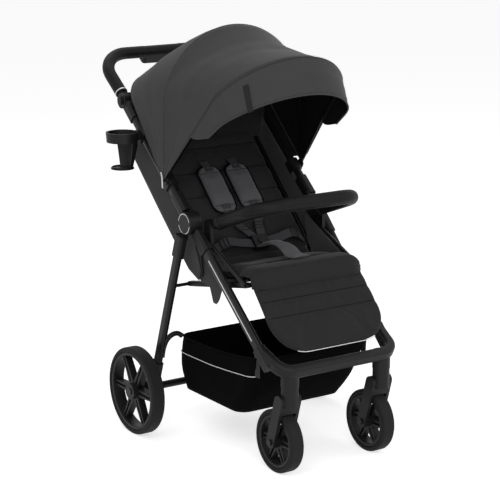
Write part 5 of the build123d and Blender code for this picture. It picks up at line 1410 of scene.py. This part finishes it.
class STROLLER_OT_bar_covers(bpy.types.Operator):
    """Wrap the push handle and the bumper bar in leatherette, with sewn seams and end cuffs"""

    bl_idname = "stroller.bar_covers"
    bl_label = "Bar Covers"

    def execute(self, context):
        grip = bent_bar(GRIP_BAR, joint_place("handle_tilt"), GRIP_ANGLE, 220)
        radius = GRIP_BAR[4] * MM / 2
        for side, label in SIDES:
            run = [point for point in grip if point[0] * side > LATCH_HALF_L * MM]
            run = sorted((tuple(point) for point in run), key=lambda place: place[0] * side)
            around = radius + GRIP_GAP * MM
            self.dress(sleeve(f"grip_cover_{label}", run, around, "leather", side), "handle_grip")
            self.seam(f"grip_seam_{label}", run, GRIP_ANGLE + 180, around, "handle_grip")
        bumper = bent_bar(BUMPER_BAR, joint_place("bumper_fold"), BUMPER_ANGLE, 220)
        radius = BUMPER_BAR[4] * MM / 2
        around = radius + BUMPER_GAP * MM
        self.dress(sleeve("bumper_cover", bumper, around, "leather", 5.0), "bumper")
        self.seam("bumper_seam", bumper, BUMPER_ANGLE + 90, around, "bumper")
        for (_, label), ends in zip(SIDES, (bumper[:6], bumper[-6:])):
            cuff = sleeve(f"bumper_cuff_{label}", ends, radius + CUFF_GAP * MM, "plastic", 9.0)
            self.dress(cuff, "bumper")
        return {"FINISHED"}

    def dress(self, cover, body):
        """Thicken a cover and let it move with its bar."""
        thicken(cover, COVER_T * MM)
        carry(cover, body)

    def seam(self, name, path, angle, radius, body):
        """Sewn line along a bar's cover, on the side that an angle gives."""
        out = np.array(side_way(angle)) * (radius + SEAM_LIFT * MM)
        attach(add_stitches(name, [np.array(path) + out], "pads"), body)


class STROLLER_OT_studio(bpy.types.Operator):
    """Set the pale floor, the soft lamps and the camera"""

    bl_idname = "stroller.studio"
    bl_label = "Studio"

    def execute(self, context):
        scene = context.scene
        stage = scene.stroller_stage
        add_floor(scene.stroller_colours.floor)
        for name, place, size, power in LAMPS:
            light = bpy.data.lights.new(name, "AREA")
            light.size = size
            light.energy = power
            lamp = bpy.data.objects.new(name, light)
            lamp.location = place
            aim = Vector(LAMP_AIM) - Vector(place)
            lamp.rotation_euler = aim.to_track_quat("-Z", "Y").to_euler()
            scene.collection.objects.link(lamp)
        camera = bpy.data.objects.new("Camera", bpy.data.cameras.new("Camera"))
        camera.data.lens = stage.lens
        camera.data.sensor_width = 36.0
        camera.location = stage.eye
        level = math.cos(stage.pitch)
        ahead = Vector((math.sin(stage.yaw) * level, math.cos(stage.yaw) * level, -math.sin(stage.pitch)))
        camera.rotation_euler = ahead.to_track_quat("-Z", "Y").to_euler()
        scene.collection.objects.link(camera)
        scene.camera = camera
        scene.view_settings.view_transform = "Standard"
        set_world(scene)
        return {"FINISHED"}


def seen_rays(tree):
    """One where a ray comes from the camera, or through or off a shiny piece."""
    path = add_node(tree, "ShaderNodeLightPath").outputs
    seen = path["Is Camera Ray"]
    for kind in ("Is Glossy Ray", "Is Transmission Ray"):
        seen = add_node(tree, "ShaderNodeMath", {0: seen, 1: path[kind]}, operation="MAXIMUM").outputs[0]
    return seen


def add_floor(colour):
    """Wide pale floor that keeps the stroller's shadow and reads white beyond it."""
    material = bpy.data.materials.new("Matt studio floor")
    material.use_nodes = True
    tree = material.node_tree
    tree.nodes.clear()
    matt = add_node(tree, "ShaderNodeBsdfDiffuse", {"Color": (*colour, 1.0)})
    lift = add_node(tree, "ShaderNodeMath", {0: seen_rays(tree), 1: FLOOR_GLOW}, operation="MULTIPLY")
    glow = add_node(tree, "ShaderNodeEmission", {"Color": (1, 1, 1, 1), "Strength": lift.outputs[0]})
    both = add_node(tree, "ShaderNodeAddShader", {0: matt.outputs[0], 1: glow.outputs[0]})
    add_node(tree, "ShaderNodeOutputMaterial", {"Surface": both.outputs[0]})
    finishes["floor"] = material
    corners = [(FLOOR_HALF * x, FLOOR_HALF * y, 0) for x, y in ((-1, -1), (1, -1), (1, 1), (-1, 1))]
    return add_piece("studio_floor", corners, [[0, 1, 2, 3]], "floor")


def set_world(scene):
    """White surroundings to the eye, and an even soft light on the stroller."""
    world = bpy.data.worlds.new("Studio")
    world.use_nodes = True
    tree = world.node_tree
    tree.nodes.clear()
    level = add_node(
        tree, "ShaderNodeMapRange", {"Value": seen_rays(tree), "To Min": SKY_LIGHT, "To Max": 1.0}
    )
    sky = add_node(tree, "ShaderNodeBackground", {"Color": (1, 1, 1, 1), "Strength": level.outputs[0]})
    add_node(tree, "ShaderNodeOutputWorld", {"Surface": sky.outputs[0]})
    scene.world = world


STEPS = (
    STROLLER_OT_finish_frame,
    STROLLER_OT_seat,
    STROLLER_OT_harness,
    STROLLER_OT_side_cloth,
    STROLLER_OT_canopy,
    STROLLER_OT_basket,
    STROLLER_OT_bar_covers,
    STROLLER_OT_studio,
)


class STROLLER_PT_dressing(bpy.types.Panel):
    """Lists the steps that dress the stroller."""

    bl_idname = "STROLLER_PT_dressing"
    bl_label = "Stroller"
    bl_space_type = "VIEW_3D"
    bl_region_type = "UI"
    bl_category = "Stroller"

    def draw(self, context):
        for step in STEPS:
            self.layout.operator(step.bl_idname)
        for setting, _ in GROUPS:
            group = getattr(context.scene, setting)
            box = self.layout.box()
            for name in group.bl_rna.properties.keys():
                if name not in ("rna_type", "name"):
                    box.prop(group, name)


GROUPS = (
    ("stroller_colours", StrollerColours),
    ("stroller_sizes", StrollerSizes),
    ("stroller_stage", StrollerStage),
)


def register():
    """Register the settings, the steps and the panel."""
    for name, group in GROUPS:
        bpy.utils.register_class(group)
        setattr(bpy.types.Scene, name, PointerProperty(type=group))
    for step in (*STEPS, STROLLER_PT_dressing):
        bpy.utils.register_class(step)


def unregister():
    """Remove what register added."""
    for step in reversed((*STEPS, STROLLER_PT_dressing)):
        bpy.utils.unregister_class(step)
    for name, group in reversed(GROUPS):
        delattr(bpy.types.Scene, name)
        bpy.utils.unregister_class(group)


def main():
    """Dress the stroller step by step."""
    register()
    for step in STEPS:
        category, name = step.bl_idname.split(".")
        getattr(getattr(bpy.ops, category), name)()


if __name__ == "__main__":
    main()
